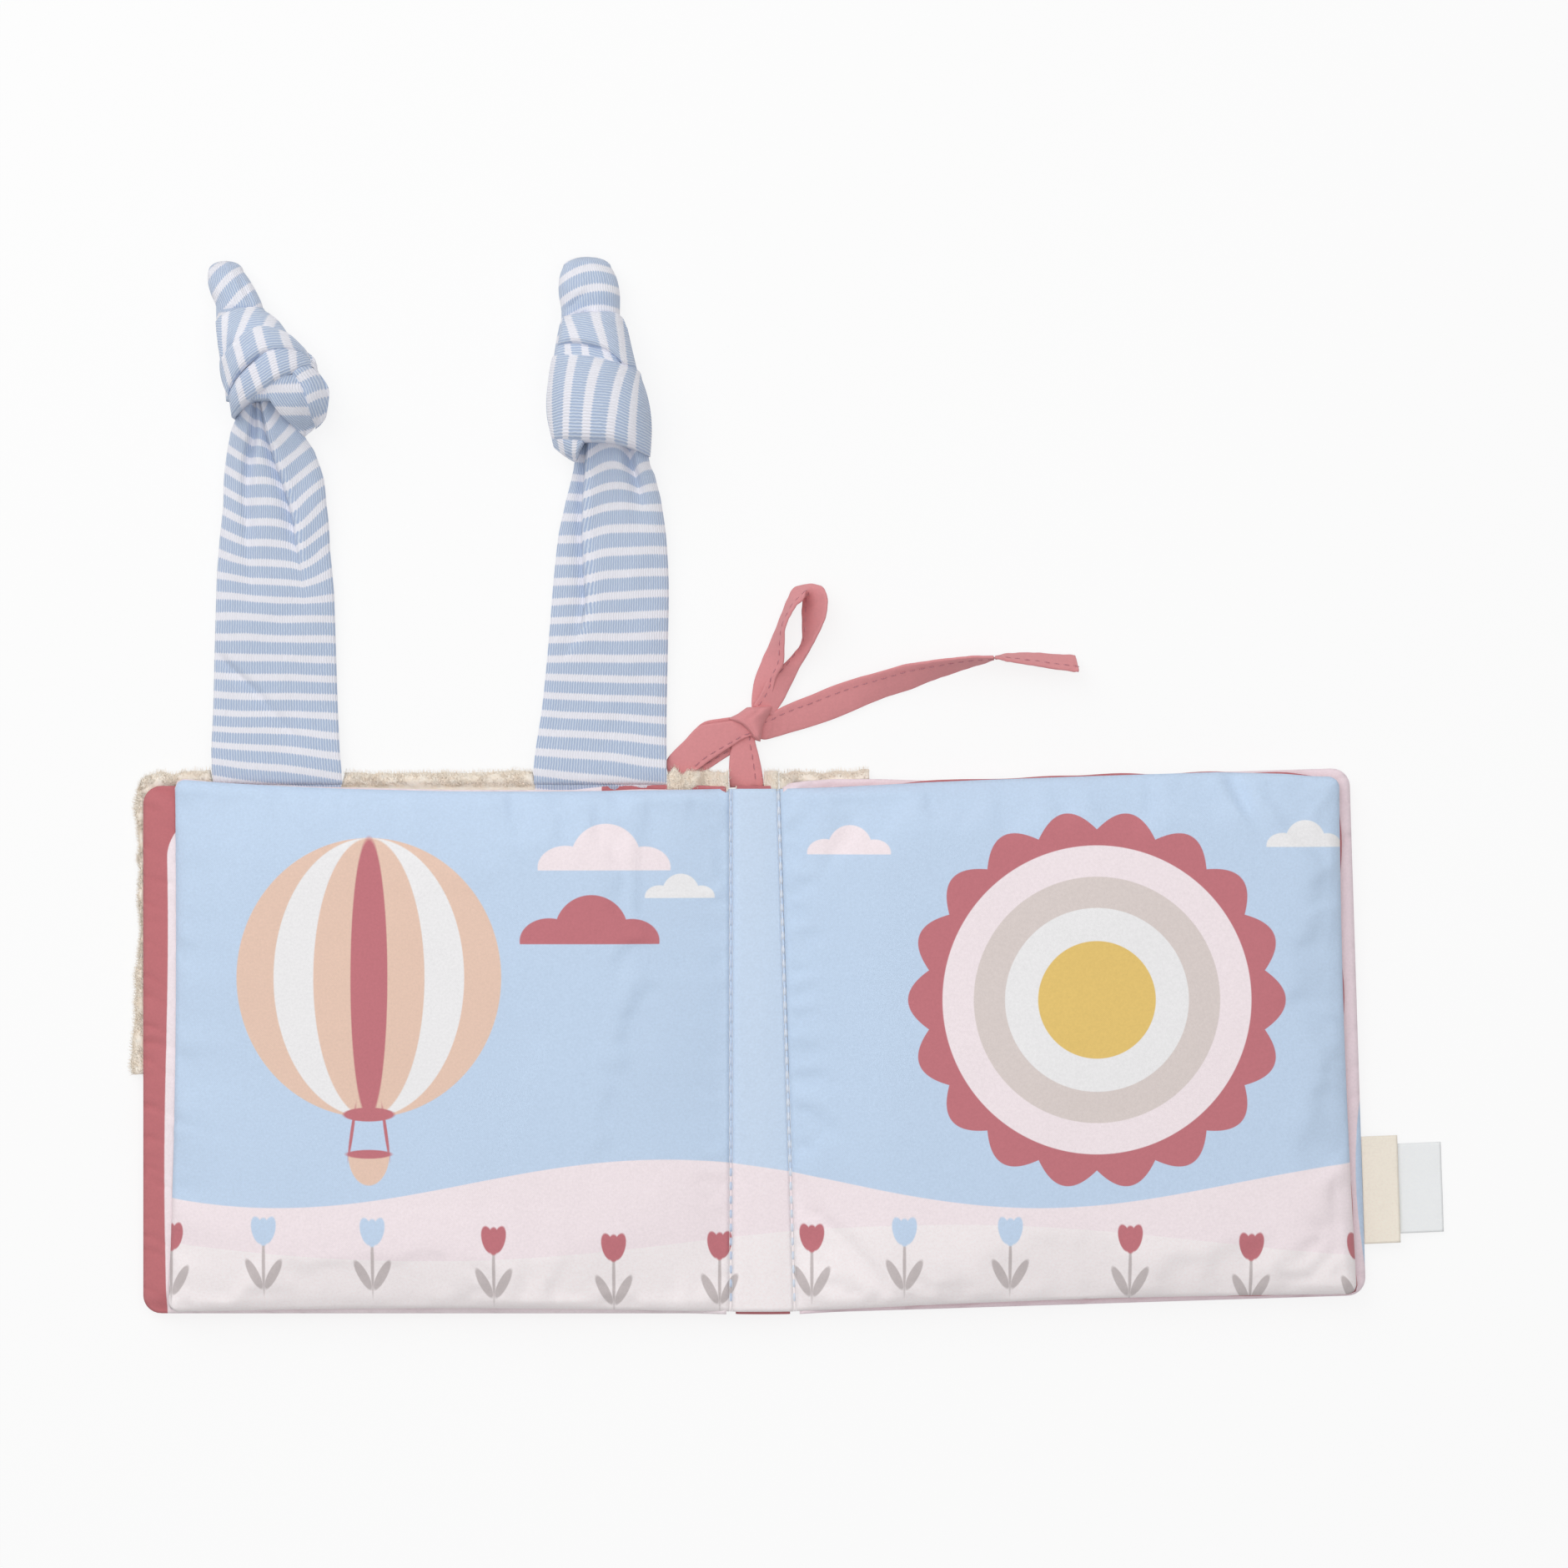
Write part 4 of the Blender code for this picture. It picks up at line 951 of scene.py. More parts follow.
def stitch_row(route, ups, pitch, length, width=None):
    """Matrices of stitches along a route of points, each lying on the cloth under it."""
    places, due = [], pitch / 2
    walked = 0
    scale = Vector((width or length, length, width or length))
    for index in range(len(route) - 1):
        start, end = route[index], route[index + 1]
        step = (end - start).length
        while due <= walked + step and step > 0:
            point = start.lerp(end, (due - walked) / step)
            forward = (end - start).normalized()
            up = (ups[index] - forward * ups[index].dot(forward)).normalized()
            side = forward.cross(up)
            turn = Matrix((side, forward, up)).transposed().to_4x4()
            places.append(Matrix.Translation(point) @ turn @ Matrix.Diagonal((*scale, 1)))
            due += pitch
        walked += step
    return places


STITCH_LENGTH = 2.7 * MM
FOLD_RADIUS = 0.4 * MM
UP = Vector((0, 0, 1))


def ring_points(centre, across, up, half_width, half_height, sides):
    return [centre + across * (math.cos(2 * math.pi * k / sides) * half_width)
            + up * (math.sin(2 * math.pi * k / sides) * half_height) for k in range(sides)]


def tube_mesh(name, rings):
    """A closed tube through rings of points; its UV map is length around and length along."""
    count = len(rings[0])
    points = [point for ring in rings for point in ring]
    faces = []
    for i in range(len(rings) - 1):
        for k in range(count):
            a, b = i * count + k, i * count + (k + 1) % count
            faces.append((a, b, b + count, a + count))
    faces.append(tuple(range(count - 1, -1, -1)))
    faces.append(tuple(len(points) - count + k for k in range(count)))
    mesh = bpy.data.meshes.new(name)
    mesh.from_pydata(points, [], faces)
    middles = [sum(ring, Vector()) / count for ring in rings]
    along = [0.0]
    for first, second in zip(middles, middles[1:]):
        along.append(along[-1] + (second - first).length)
    widest = max(rings, key=lambda ring: sum((ring[k] - ring[k - 1]).length for k in range(count)))
    around_at = [0.0]
    for k in range(count):
        around_at.append(around_at[-1] + (widest[(k + 1) % count] - widest[k]).length)
    layer = mesh.uv_layers.new(name="length")
    for face in mesh.polygons:
        seam = face.index < (len(rings) - 1) * count and face.index % count == count - 1
        for corner, loop in enumerate(face.loop_indices):
            vert = mesh.loops[loop].vertex_index
            around = vert % count
            if seam and corner in (1, 2):
                around = count
            layer.data[loop].uv = (around_at[around], along[vert // count])
    return mesh


def make_seam(side, half, thread):
    route = [half.place(0, v, SEAM_HEIGHT - 0.35 * MM) for v in steps(-LEAF_HALF, LEAF_HALF, 1 * MM)]
    rings = []
    for index, point in enumerate(route):
        pinch = 0.5 + 0.5 * math.cos(2 * math.pi * index * MM / STITCH_PITCH)
        radius = FOLD_RADIUS * (1 - 0.2 * pinch)
        rings.append(ring_points(point, half.out, UP, radius, radius, 10))
    add_piece(side + "_seam_fold", tube_mesh("fold", rings), gutter_print, "spine")
    lifted = [point + UP * 0.42 * MM for point in route[2:-2]]
    places = stitch_row(lifted, [UP] * len(lifted), STITCH_PITCH, STITCH_LENGTH)
    mesh = copies("stitches", stitch_points, stitch_faces, places)
    add_piece(side + "_seam_stitches", mesh, thread, "spine", [side + "_seam_thread"])


make_seam("left", LEFT, left_thread)
make_seam("right", RIGHT, right_thread)

# %% [markdown]
# Each cover is a thin padded case: a printed lining inside, and outside cotton below a hem
# and plush above it. The covers stand out past the pages, so their puckered margins show.

# %% Cover shapes
COVER_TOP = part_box("front_cover_lining")[1][2]
RIM_HEIGHT = 3.3 * MM
RIM = 1.5 * MM
RIM_RUN = 10.0 * MM
COVER_CORNER = 5.0 * MM
MARGIN = 1.3 * MM
PILE = 2.2 * MM
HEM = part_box("front_cover_plush")[0][1]
OVERHANG = reach("front_cover_plush", LEFT)[0] - FRONT_WIDTH
STRIP_WIDTH = reach("back_cover_plush_strip", RIGHT)[0]
SLOPE = math.tan(math.radians(48))
NO_SHIFT = ((0, 0), (170, 0))


def corner_distance(u, v, width, half, radius):
    over_u, over_v = u - (width - radius), abs(v) - (half - radius)
    if over_u > 0 and over_v > 0:
        return radius - math.hypot(over_u, over_v)
    return min(width - u, half - abs(v))


def cover_rim(u, v, width):
    return 1 - ease(corner_distance(u, v, width, COVER_HALF, COVER_CORNER), RIM_RUN)


def lining_height(u, v, width):
    drop = COVER_TOP - RIM_HEIGHT - RIM / 2
    return COVER_TOP - drop * cover_rim(u, v, width) * clamp((u - MARGIN) / RIM_RUN)


def seam_slope(distance):
    return max(0, SEAM_HEIGHT - distance * SLOPE)


def cotton_underside(u, v, width):
    return max(seam_slope(u), (RIM_HEIGHT - RIM / 2) * cover_rim(u, v, width))


FRONT_HEAD = ((0, -0.2), (14, 0.3), (28, 0.5), (36, -0.3), (43, -1.1), (50, -1.15),
              (77, -1.05), (100, -0.55), (125, 0), (170, 0))
BACK_HEAD = ((0, 0.3), (7, 1.1), (15, 1.4), (27, 1.05), (41, 0.15), (48, 0), (170, 0))


def cover_grid(half, width, us, vs, height, corner=COVER_CORNER, top=COVER_HALF, head=NO_SHIFT):
    """A grid over a cover; `head` tells how far its upper edge is shifted, in millimetres."""
    grid = []
    for u in us:
        row = []
        for v in vs:
            round_u, round_v = round_corner(u, v, width, top, corner)
            near_head = max(0, 1 - (COVER_HALF - round_v) / (8 * MM)) ** 2
            shifted = round_v + read_table(head, u / MM) * MM * near_head
            row.append(half.place(round_u, shifted, height(round_u, round_v)))
        grid.append(row)
    return grid


def side_gathers(u, v, width, seed):
    """Gathers of a cover's lining: strongest at its side, none where it is sewn to the spine."""
    edge = corner_distance(u, v, width, COVER_HALF, COVER_CORNER)
    fold = rough(u / (12 * MM), v / (3.6 * MM), seed)
    wide = rough(u / (20 * MM), v / (12 * MM), seed + 5)
    sharp = crease(v + 0.5 * (width - u), edge, 8 * MM, seed + 2)
    depth = 0.95 * fold + 0.4 * wide - 0.8 * sharp
    return depth * MM * math.exp(-edge / (7 * MM)) * ease(edge, 1.5 * MM)


def make_lining(prefix, half, width, material, seed, head):
    us, vs = steps(MARGIN, width, 1.3 * MM), steps(-COVER_HALF, COVER_HALF, 0.8 * MM)
    top = cover_grid(half, width, us, vs,
                     lambda u, v: lining_height(u, v, width) + min(0, side_gathers(u, v, width, seed)),
                     head=head)
    add_piece(prefix + "_inside", shell_mesh("lining", top, lowered(top, CLOTH)), material,
              prefix, [prefix + "_lining"])


make_lining("front_cover", LEFT, FRONT_WIDTH, front_lining_cotton, 2.2,
            FRONT_HEAD)
make_lining("back_cover", RIGHT, BACK_WIDTH, back_lining_cotton, 6.1,
            BACK_HEAD)

# %% [markdown]
# The cotton outside of the covers is nearly flat where it lies on the floor and turns up at
# the rim, with the same small gathers.

# %% Cotton outsides
GAP = 0.3 * MM
COTTON_GRID = 1.8 * MM


def make_cotton_outside(name, prefix, half, width, vs, us, material, node, seed):
    def underside(u, v):
        gathers = max(0, side_gathers(u, v, width, seed))
        return cotton_underside(u, v, width) + 0.6 * gathers

    bottom = cover_grid(half, width, us, vs, underside)
    top = []
    for u, row in zip(us, bottom):
        ceilings = [min(COVER_TOP - 2 * CLOTH, lining_height(u, v, width) - CLOTH - GAP) for v in vs]
        top.append([Vector((p.x, p.y, max(p.z + 0.1 * MM, min(p.z + CLOTH, ceiling))))
                    for p, ceiling in zip(row, ceilings)])
    add_piece(name, shell_mesh("outside", top, bottom), material, prefix, [node])


make_cotton_outside("front_cover_cotton", "front_cover", LEFT, FRONT_WIDTH,
                    steps(-COVER_HALF, HEM - GAP, COTTON_GRID), steps(MARGIN, FRONT_WIDTH, COTTON_GRID),
                    rose_cotton, "front_cover_lower_panel", 1.4)
make_cotton_outside("back_cover_cotton_low", "back_cover", RIGHT, BACK_WIDTH,
                    steps(-COVER_HALF, HEM - GAP, COTTON_GRID), steps(MARGIN, BACK_WIDTH, COTTON_GRID),
                    pink_cotton, "back_cover_outer_panel", 3.9)
make_cotton_outside("back_cover_cotton_high", "back_cover", RIGHT, BACK_WIDTH,
                    steps(HEM - GAP, COVER_HALF, COTTON_GRID),
                    steps(STRIP_WIDTH + GAP, BACK_WIDTH, COTTON_GRID),
                    pink_cotton, "back_cover_outer_panel", 3.9)

# %% [markdown]
# Plush is a knitted back with a short soft pile. The back is modelled as a thick sheet whose
# edge rolls over in small lumps, as the real edge does. The pile is thousands of short hairs:
# one hair is modelled as a thin bent cone, and its copies stand out of the sheet.

# %% Plush and one hair
HAIR_WIDTH = 0.7 * MM
plush, g, shader, place = cloth("cream plush", 0.95, 0.5, srgb(255, 248, 236))
tuft = g.node("ShaderNodeTexNoise", {"Vector": place, "Scale": 520.0, "Detail": 3.0})
tint = g.mix(tuft.outputs["Fac"], srgb(247, 228, 206), srgb(255, 253, 246))
g.feed(shader.inputs["Base Color"], tint)
bump(g, shader, tuft.outputs["Fac"], 0.2, 0.15 * MM)

bpy.ops.mesh.primitive_cone_add(vertices=3, radius1=0.085, radius2=0.04, depth=1,
                                location=(0, 0, 0.5))
hair = bpy.context.active_object
bpy.ops.object.mode_set(mode="EDIT")
bpy.ops.mesh.select_all(action="SELECT")
bpy.ops.mesh.bisect(plane_co=(0, 0, 0.5), plane_no=(0, 0, 1))
bpy.ops.object.mode_set(mode="OBJECT")
hair_points = [v.co + Vector((0, 0.35 * (v.co.z + 0.5) ** 2, 0.5)) for v in hair.data.vertices]
hair_faces = [tuple(face.vertices) for face in hair.data.polygons]
bpy.data.objects.remove(hair, do_unlink=True)
print("one hair has", len(hair_faces), "faces")


def pile(name, body, roots, seed, length):
    """Hairs at these roots; each root is a place and the way its hair leans."""
    draw = random.Random(seed)
    places = []
    for root, outwards in roots:
        lean = outwards + Vector((draw.gauss(0, 0.5), draw.gauss(0, 0.5), draw.gauss(0, 0.35)))
        turn = UP.rotation_difference(lean.normalized()).to_matrix().to_4x4()
        size = length * draw.uniform(0.6, 1.25)
        place = Matrix.Translation(root) @ turn @ Matrix.Diagonal((HAIR_WIDTH, HAIR_WIDTH, size, 1))
        lowest = min((place @ point).z for point in hair_points)
        places.append(Matrix.Translation((0, 0, max(0, 0.05 * MM - lowest))) @ place)
    return add_piece(name, copies(name, hair_points, hair_faces, places), plush, body)


# %% [markdown]
# The sheet is shaped by how far a point stands out past the cover. Over the ears and beside
# the tie nothing stands out, because they are sewn in between the cover's layers there.

# %% Plush sheets
PLUSH_CORNER = 9 * MM
SQUARE_CORNER = 0.01 * MM
PLUSH_LOW = 0.45 * MM
EDGE_RISE = 2.3 * MM
SIDE_SHARES = ((-7, 1.0), (0, 0.86), (12, 0.68), (30, 0.46), (45, 0.42),
               (60, 0.56), (72, 0.8), (90, 0.8))


def edge_roll(out):
    """How high the rolled edge stands, from 1 at the cover to 0 at its rim."""
    return math.sqrt(max(0.0, 1 - min(1, out) ** 3))


def soft_edge(u, v, width, half):
    """A plan place of the sheet after the side's narrowing and the small waves of its edge."""
    wave = 0.7 * rough(u / (3.6 * MM), v / (3.6 * MM), 7)
    wave += 1.0 * rough(u / (9 * MM), v / (9 * MM), 3)
    if v > COVER_HALF:
        v += wave * MM * min(1, (v - COVER_HALF) / (1.5 * MM))
    if u > width:
        share = read_table(SIDE_SHARES, v / MM)
        u = width + (u - width) * share + wave * MM * min(1, (u - width) / (1.5 * MM))
    return half.place(u, v, 0)


def plush_sheet(name, prefix, half, width, us, vs, plan_width, corner, node, notched):
    """The knitted back of a plush panel; its head is held in where it is notched."""
    top_edge = COVER_HALF + OVERHANG
    lower, upper = [], []
    for u in us:
        low_row, high_row = [], []
        for v in vs:
            held_v = min(v, COVER_HALF - 0.1 * MM + 0.02 * (v - COVER_HALF)) if notched(u) else v
            round_u, round_v = round_corner(u, held_v, plan_width, top_edge, corner)
            spot = soft_edge(round_u, round_v, width, half)
            out = max(0, round_u - width, round_v - COVER_HALF) / OVERHANG
            lump = 0.5 * noise.noise(spot / (2.3 * MM)) + 0.7 * noise.noise(spot / (5 * MM))
            low = max(seam_slope(u), PLUSH_LOW)
            low += 0.25 * MM * (1 + noise.noise(spot / (2.4 * MM))) * min(1, u / (8 * MM))
            ceiling = lining_height(min(round_u, width), min(round_v, COVER_HALF), width)
            high = min(low + PILE, ceiling - CLOTH - GAP)
            if out > 0:
                roll = edge_roll(out)
                rise = max(0, seam_slope(u) - PLUSH_LOW)
                high = 1.2 * MM + EDGE_RISE * roll * min(1, 0.45 + out * 3) + lump * MM
                high = min(high + rise, SEAM_HEIGHT)
                low = 0.4 * MM + 0.8 * MM * out ** 3 + rise
            low_row.append(Vector((spot.x, spot.y, min(low, high - 0.15 * MM))))
            high_row.append(Vector((spot.x, spot.y, high)))
        lower.append(low_row)
        upper.append(high_row)
    add_piece(name, shell_mesh("plush", upper, lower), plush, prefix, [node])


EAR_SPANS = []
for ear in ("left_ear_strap", "right_ear_strap"):
    points = [LEFT.read(v.co) for v in frame["nodes"][ear].data.vertices]
    near = [u for u, v in points if v < COVER_HALF + 4 * MM]
    EAR_SPANS.append((min(near) - 0.5 * MM, max(near) + 0.5 * MM))
print("ears stand at", [tuple(round(edge / MM, 1) for edge in span) for span in EAR_SPANS])


def front_notch(u):
    return u < EAR_SPANS[1][0] or any(low < u < high for low, high in EAR_SPANS)


plush_sheet("front_plush", "front_cover", LEFT, FRONT_WIDTH,
            steps(MARGIN, FRONT_WIDTH + OVERHANG, 0.9 * MM),
            steps(HEM, COVER_HALF + OVERHANG, 0.9 * MM),
            FRONT_WIDTH + OVERHANG, PLUSH_CORNER, "front_cover_plush", front_notch)
plush_sheet("back_plush", "back_cover", RIGHT, BACK_WIDTH,
            steps(0.4 * MM, STRIP_WIDTH, 0.7 * MM), steps(HEM, COVER_HALF + OVERHANG, 0.9 * MM),
            BACK_WIDTH, SQUARE_CORNER, "back_cover_plush_strip", lambda u: False)

# %% [markdown]
# The hairs stand close together on the rolled edges that show, and further apart on the
# outside, where they lie flat. The hidden rest of each panel has none.

# %% Pile along the edges and on the outside
HAIR_LENGTH = 0.9 * MM
LONG_HAIR = 1.1 * MM
EDGE_PITCH = 0.3 * MM
OUTSIDE_PITCH = 1.15 * MM
draw = random.Random(11)


def edge_roots(half, width, plan_width, corner, start, end, low_v, notched, head):
    """Roots all over the rolled edge: more of them near its rim, leaning outwards."""
    roots = []
    for u in steps(start, end, EDGE_PITCH):
        if u < width - 12 * MM and notched(u):
            continue
        for v in steps(low_v, COVER_HALF + OVERHANG, EDGE_PITCH):
            if u < width and v < COVER_HALF + 0.2 * MM + read_table(head, u / MM) * MM:
                continue
            jump_u, jump_v = draw.uniform(-0.3, 0.3) * MM, draw.uniform(-0.3, 0.3) * MM
            round_u, round_v = round_corner(u + jump_u, v + jump_v, plan_width,
                                            COVER_HALF + OVERHANG, corner)
            out = max(0, round_u - width, round_v - COVER_HALF) / OVERHANG
            roll = edge_roll(out)
            spot = soft_edge(round_u, round_v, width, half)
            spot.z = 1.1 * MM + EDGE_RISE * roll * min(1, 0.45 + out * 3)
            spot.z = min(spot.z + max(0, seam_slope(u) - PLUSH_LOW), SEAM_HEIGHT)
            away = half.out * (round_u > width) + half.along * (round_v > COVER_HALF)
            roots.append((spot, away * out * 1.3 + UP * (0.25 + roll * 0.6)))
    return roots


def outside_roots(half, start, end, low, high):
    roots = []
    for u in steps(start, end, OUTSIDE_PITCH):
        for v in steps(low, high, OUTSIDE_PITCH):
            spot = half.place(u + draw.uniform(-0.6, 0.6) * MM, v + draw.uniform(-0.6, 0.6) * MM, 0)
            spot.z = seam_slope(u) + 0.75 * MM
            flat = Vector((draw.uniform(-1, 1), draw.uniform(-1, 1), -0.35))
            roots.append((spot, flat))
    return roots


FRONT_PLAN = FRONT_WIDTH + OVERHANG
pile("front_pile_head", "front_cover",
     edge_roots(LEFT, FRONT_WIDTH, FRONT_PLAN, PLUSH_CORNER, 18 * MM, FRONT_WIDTH - 10 * MM,
                COVER_HALF - 1.2 * MM, front_notch, FRONT_HEAD), 1, HAIR_LENGTH)
pile("front_pile_side", "front_cover",
     edge_roots(LEFT, FRONT_WIDTH, FRONT_PLAN, PLUSH_CORNER, FRONT_WIDTH - 10 * MM, FRONT_PLAN, HEM,
                front_notch, NO_SHIFT), 2, HAIR_LENGTH)
pile("front_pile_outside", "front_cover",
     outside_roots(LEFT, 5 * MM, FRONT_WIDTH, HEM + MM, COVER_HALF), 3, LONG_HAIR)
pile("back_pile_head", "back_cover",
     edge_roots(RIGHT, BACK_WIDTH, BACK_WIDTH, SQUARE_CORNER, 0.4 * MM, STRIP_WIDTH - 0.3 * MM,
                COVER_HALF, lambda u: False, BACK_HEAD), 4, HAIR_LENGTH)
pile("back_pile_outside", "back_cover",
     outside_roots(RIGHT, 5 * MM, STRIP_WIDTH - MM, HEM + MM, COVER_HALF), 5, LONG_HAIR)

# %% [markdown]
# The spine is a narrow padded strip between the covers: plush above, rose cotton below, and
# a lining that the gutter band hides. It is flat only along the line that it rests on.

# %% Spine


def spine_grid(vs, height, inset=MARGIN):
    """A grid across the spine; the height is read at the distance from the nearer seam."""
    return between_seams(vs, inset, lambda a, b, v: height(min(a, b) + inset, v))


def spine_ceiling(w):
    if w < 2.2 * MM:
        return seam_slope(w) + CLOTH
    return SEAM_HEIGHT + 0.05 * MM + 0.6 * MM * ease(w - MARGIN, SEAM_HEIGHT) - 1.8 * MM


def make_spine_cloth(name, vs, thickness, material, node, lift=0.0):
    def low(w, v):
        rim = 1 - ease(COVER_HALF - abs(v), RIM_RUN)
        rise = 0 if lift else (RIM_HEIGHT - RIM / 2) * rim
        return max(seam_slope(w), rise, lift)

    def high(w, v):
        return max(low(w, v) + 0.1 * MM, min(low(w, v) + thickness, spine_ceiling(w)))

    add_piece(name, shell_mesh("spine", spine_grid(vs, high), spine_grid(vs, low)), material,
              "spine", [node])


def lining_level(w, v):
    return SEAM_HEIGHT - 0.7 * MM + 0.55 * MM * ease(w - MARGIN, SEAM_HEIGHT)


make_spine_cloth("spine_cotton", steps(-COVER_HALF, HEM - GAP, 2 * MM), CLOTH, rose_cotton,
                 "spine_lower_panel")
make_spine_cloth("spine_plush_cloth", steps(HEM, COVER_HALF, 1.5 * MM), PILE, plush,
                 "spine_plush", lift=0.4 * MM)
lining_top = spine_grid(steps(-COVER_HALF, COVER_HALF, 2 * MM), lining_level, inset=1.6 * MM)
add_piece("spine_inside", shell_mesh("lining", lining_top, lowered(lining_top, CLOTH)),
          rose_cotton, "spine", ["spine_lining"])

TIE_X = hinges["tie_flap"]["pos_m"][0]
FRINGE = 4.0 * MM


def low_fringe(name, body, start, end, seed):
    """A short roll of plush that shows between the right ear, the tie and the back cover."""
    top, bottom, roots = [], [], []
    seams = seam_x(LEFT, COVER_HALF), seam_x(RIGHT, COVER_HALF)
    for x in steps(start, end, 0.5 * MM):
        row = []
        rise = max(0, seam_slope(min(abs(x - seam) for seam in seams)) - 0.5 * MM)
        rise = max(rise, 2.4 * MM * ease(-15 * MM - x, 2 * MM))
        for v in steps(COVER_HALF - 1.4 * MM, COVER_HALF + FRINGE, 0.4 * MM):
            out = max(0, (v - COVER_HALF) / FRINGE)
            wave = 1.6 * rough(x / (2.2 * MM), 4, 2) * MM * out
            roll = edge_roll(out)
            height = 1.3 * MM + 0.9 * MM * roll + 0.4 * MM * noise.noise(Vector((x, v, 0)) / (2 * MM))
            height = min(height + rise, SEAM_HEIGHT - 0.2 * MM)
            row.append(Vector((x, v + wave, height)))
            roots.append((Vector((x, v + wave, height)), Vector((0, out, 0.4 + 0.5 * roll))))
            roots.append((Vector((x + 0.2 * MM, v + wave, height)), Vector((0, out, 0.6))))
        top.append(row)
        bottom.append([Vector((p.x, p.y, min(0.5 * MM + rise, p.z - 0.15 * MM))) for p in row])
    add_piece(name, shell_mesh("fringe", top, bottom), plush, body)
    pile(name + "_pile", body, roots, seed, 0.8 * MM)


low_fringe("spine_fringe", "spine", TIE_X + 5.2 * MM, 5.3 * MM, 6)
low_fringe("front_fringe", "front_cover", -25.1 * MM, -8.3 * MM, 7)

# %% [markdown]
# The two ears are tubes of striped jersey, sewn flat into the cover's top edge and tied in a
# knot near the end. Jersey is a fine knit: its ribs run along the tube and its stripes round
# it. The UV map keeps the length along the tube, so the stripes bend with every fold.

# %% Striped jersey
STRIPE_PITCH = 5.8 * MM
RIB_PITCH = 0.75 * MM
jersey, g, shader, place = cloth("striped jersey", 0.88, 0.25)
flat_map = g.node("ShaderNodeUVMap", uv_map="length").outputs["UV"]
parts = g.node("ShaderNodeSeparateXYZ", {0: flat_map})
uneven = g.node("ShaderNodeTexNoise", {"Vector": place, "Scale": 60.0})
along = g.plus(parts.outputs["Y"], g.times(uneven.outputs["Fac"], 1.1 * MM))
phase = g.math("FRACT", g.over(along, STRIPE_PITCH))
middle = g.math("ABSOLUTE", g.minus(phase, 0.5))
fuzz = g.node("ShaderNodeTexNoise", {"Vector": place, "Scale": 900.0, "Detail": 1.0})
across = g.plus(parts.outputs["X"], g.times(fuzz.outputs["Fac"], 0.35 * MM))
rib = g.math("SINE", g.times(across, 2 * math.pi / RIB_PITCH))
tooth = g.plus(g.times(rib, 0.03), 0.225)
stripe = g.over(g.minus(tooth, middle), 0.06, clamp=True)
# The blue is painted darker in the valleys of the ribs and paler on their crowns, on the same ribs as
# the bump: painted shade and light on the knit.
blue = g.mix(g.times(g.plus(rib, 1.0), 0.42), srgb(171, 189, 219),
             srgb(219, 229, 243))
colour = g.mix(stripe, blue, srgb(243, 243, 251))
g.feed(shader.inputs["Base Color"], colour)
bump(g, shader, rib, 0.6, 0.12 * MM)


def rows_of(node):
    """The frame's own outline of an ear piece: for each row along it, its box across."""
    rows = {}
    for vert in frame["nodes"][node].data.vertices:
        rows.setdefault(round(vert.co.y / (0.3 * MM)), []).append(vert.co)
    table = []
    for key in sorted(rows):
        points = rows[key]
        table.append((sum(p.y for p in points) / len(points),
                      min(p.x for p in points), max(p.x for p in points),
                      min(p.z for p in points), max(p.z for p in points)))
    return table


def between(table, y):
    """Read the outline between its rows, on a smooth curve."""
    last = len(table) - 1
    index = next((k for k in range(last) if y <= table[k + 1][0]), last - 1)
    rows = [table[max(0, index - 1)], table[index], table[index + 1], table[min(last, index + 2)]]
    t = clamp((y - rows[1][0]) / (rows[2][0] - rows[1][0]))
    return [spline(*values, t) for values in list(zip(*rows))[1:]]


# %% [markdown]
# Below its knot the flat tube gathers into folds. Each fold is a crease with a steep side and
# a gentle side. It starts in the knot, is deepest there and fades down the strap, and the
# stripes climb away from it. A table gives each fold's place across and its depth.

# %% Ear straps
STRAP_GRID = 0.9 * MM
NONE = ((0, 0), (1, 0))


def folded(across, t, folds):
    """Depth of all the folds at a place, how far they shift the stripes there, and their lips."""
    depth, shift, lip = 0, 0, 0
    for fold in folds:
        away = across - read_table(fold["at"], t)
        over = min(1, 1.6 * read_table(fold["deep"], t)) * fold.get("lip", 0)
        lip += over * math.exp(-((away - fold["sides"][1]) / (1.3 * fold["sides"][1])) ** 2)
        wide = fold["sides"][0] if away < 0 else fold["sides"][1]
        depth += read_table(fold["deep"], t) * math.exp(-(away / wide) ** 2)
        depth += read_table(fold.get("shelf", NONE), t) * (away < 0)
        dip = read_table(fold.get("dip", NONE), t)
        held = away * fold.get("held", 0) > 0
        shift -= dip if held else dip * math.exp(-abs(away) / fold.get("fade", 0.2))
        shift += read_table(fold.get("right", NONE), t) * max(0, away)
        shift += read_table(fold.get("left", NONE), t) * max(0, -away)
    return depth, shift, lip


def set_lengths(mesh, along_of):
    """Write the UV map again with a length along the cloth that bends with its folds."""
    layer = mesh.uv_layers["length"]
    for face in mesh.polygons:
        for loop in face.loop_indices:
            vert = mesh.loops[loop].vertex_index
            layer.data[loop].uv = (layer.data[loop].uv[0], along_of[vert])


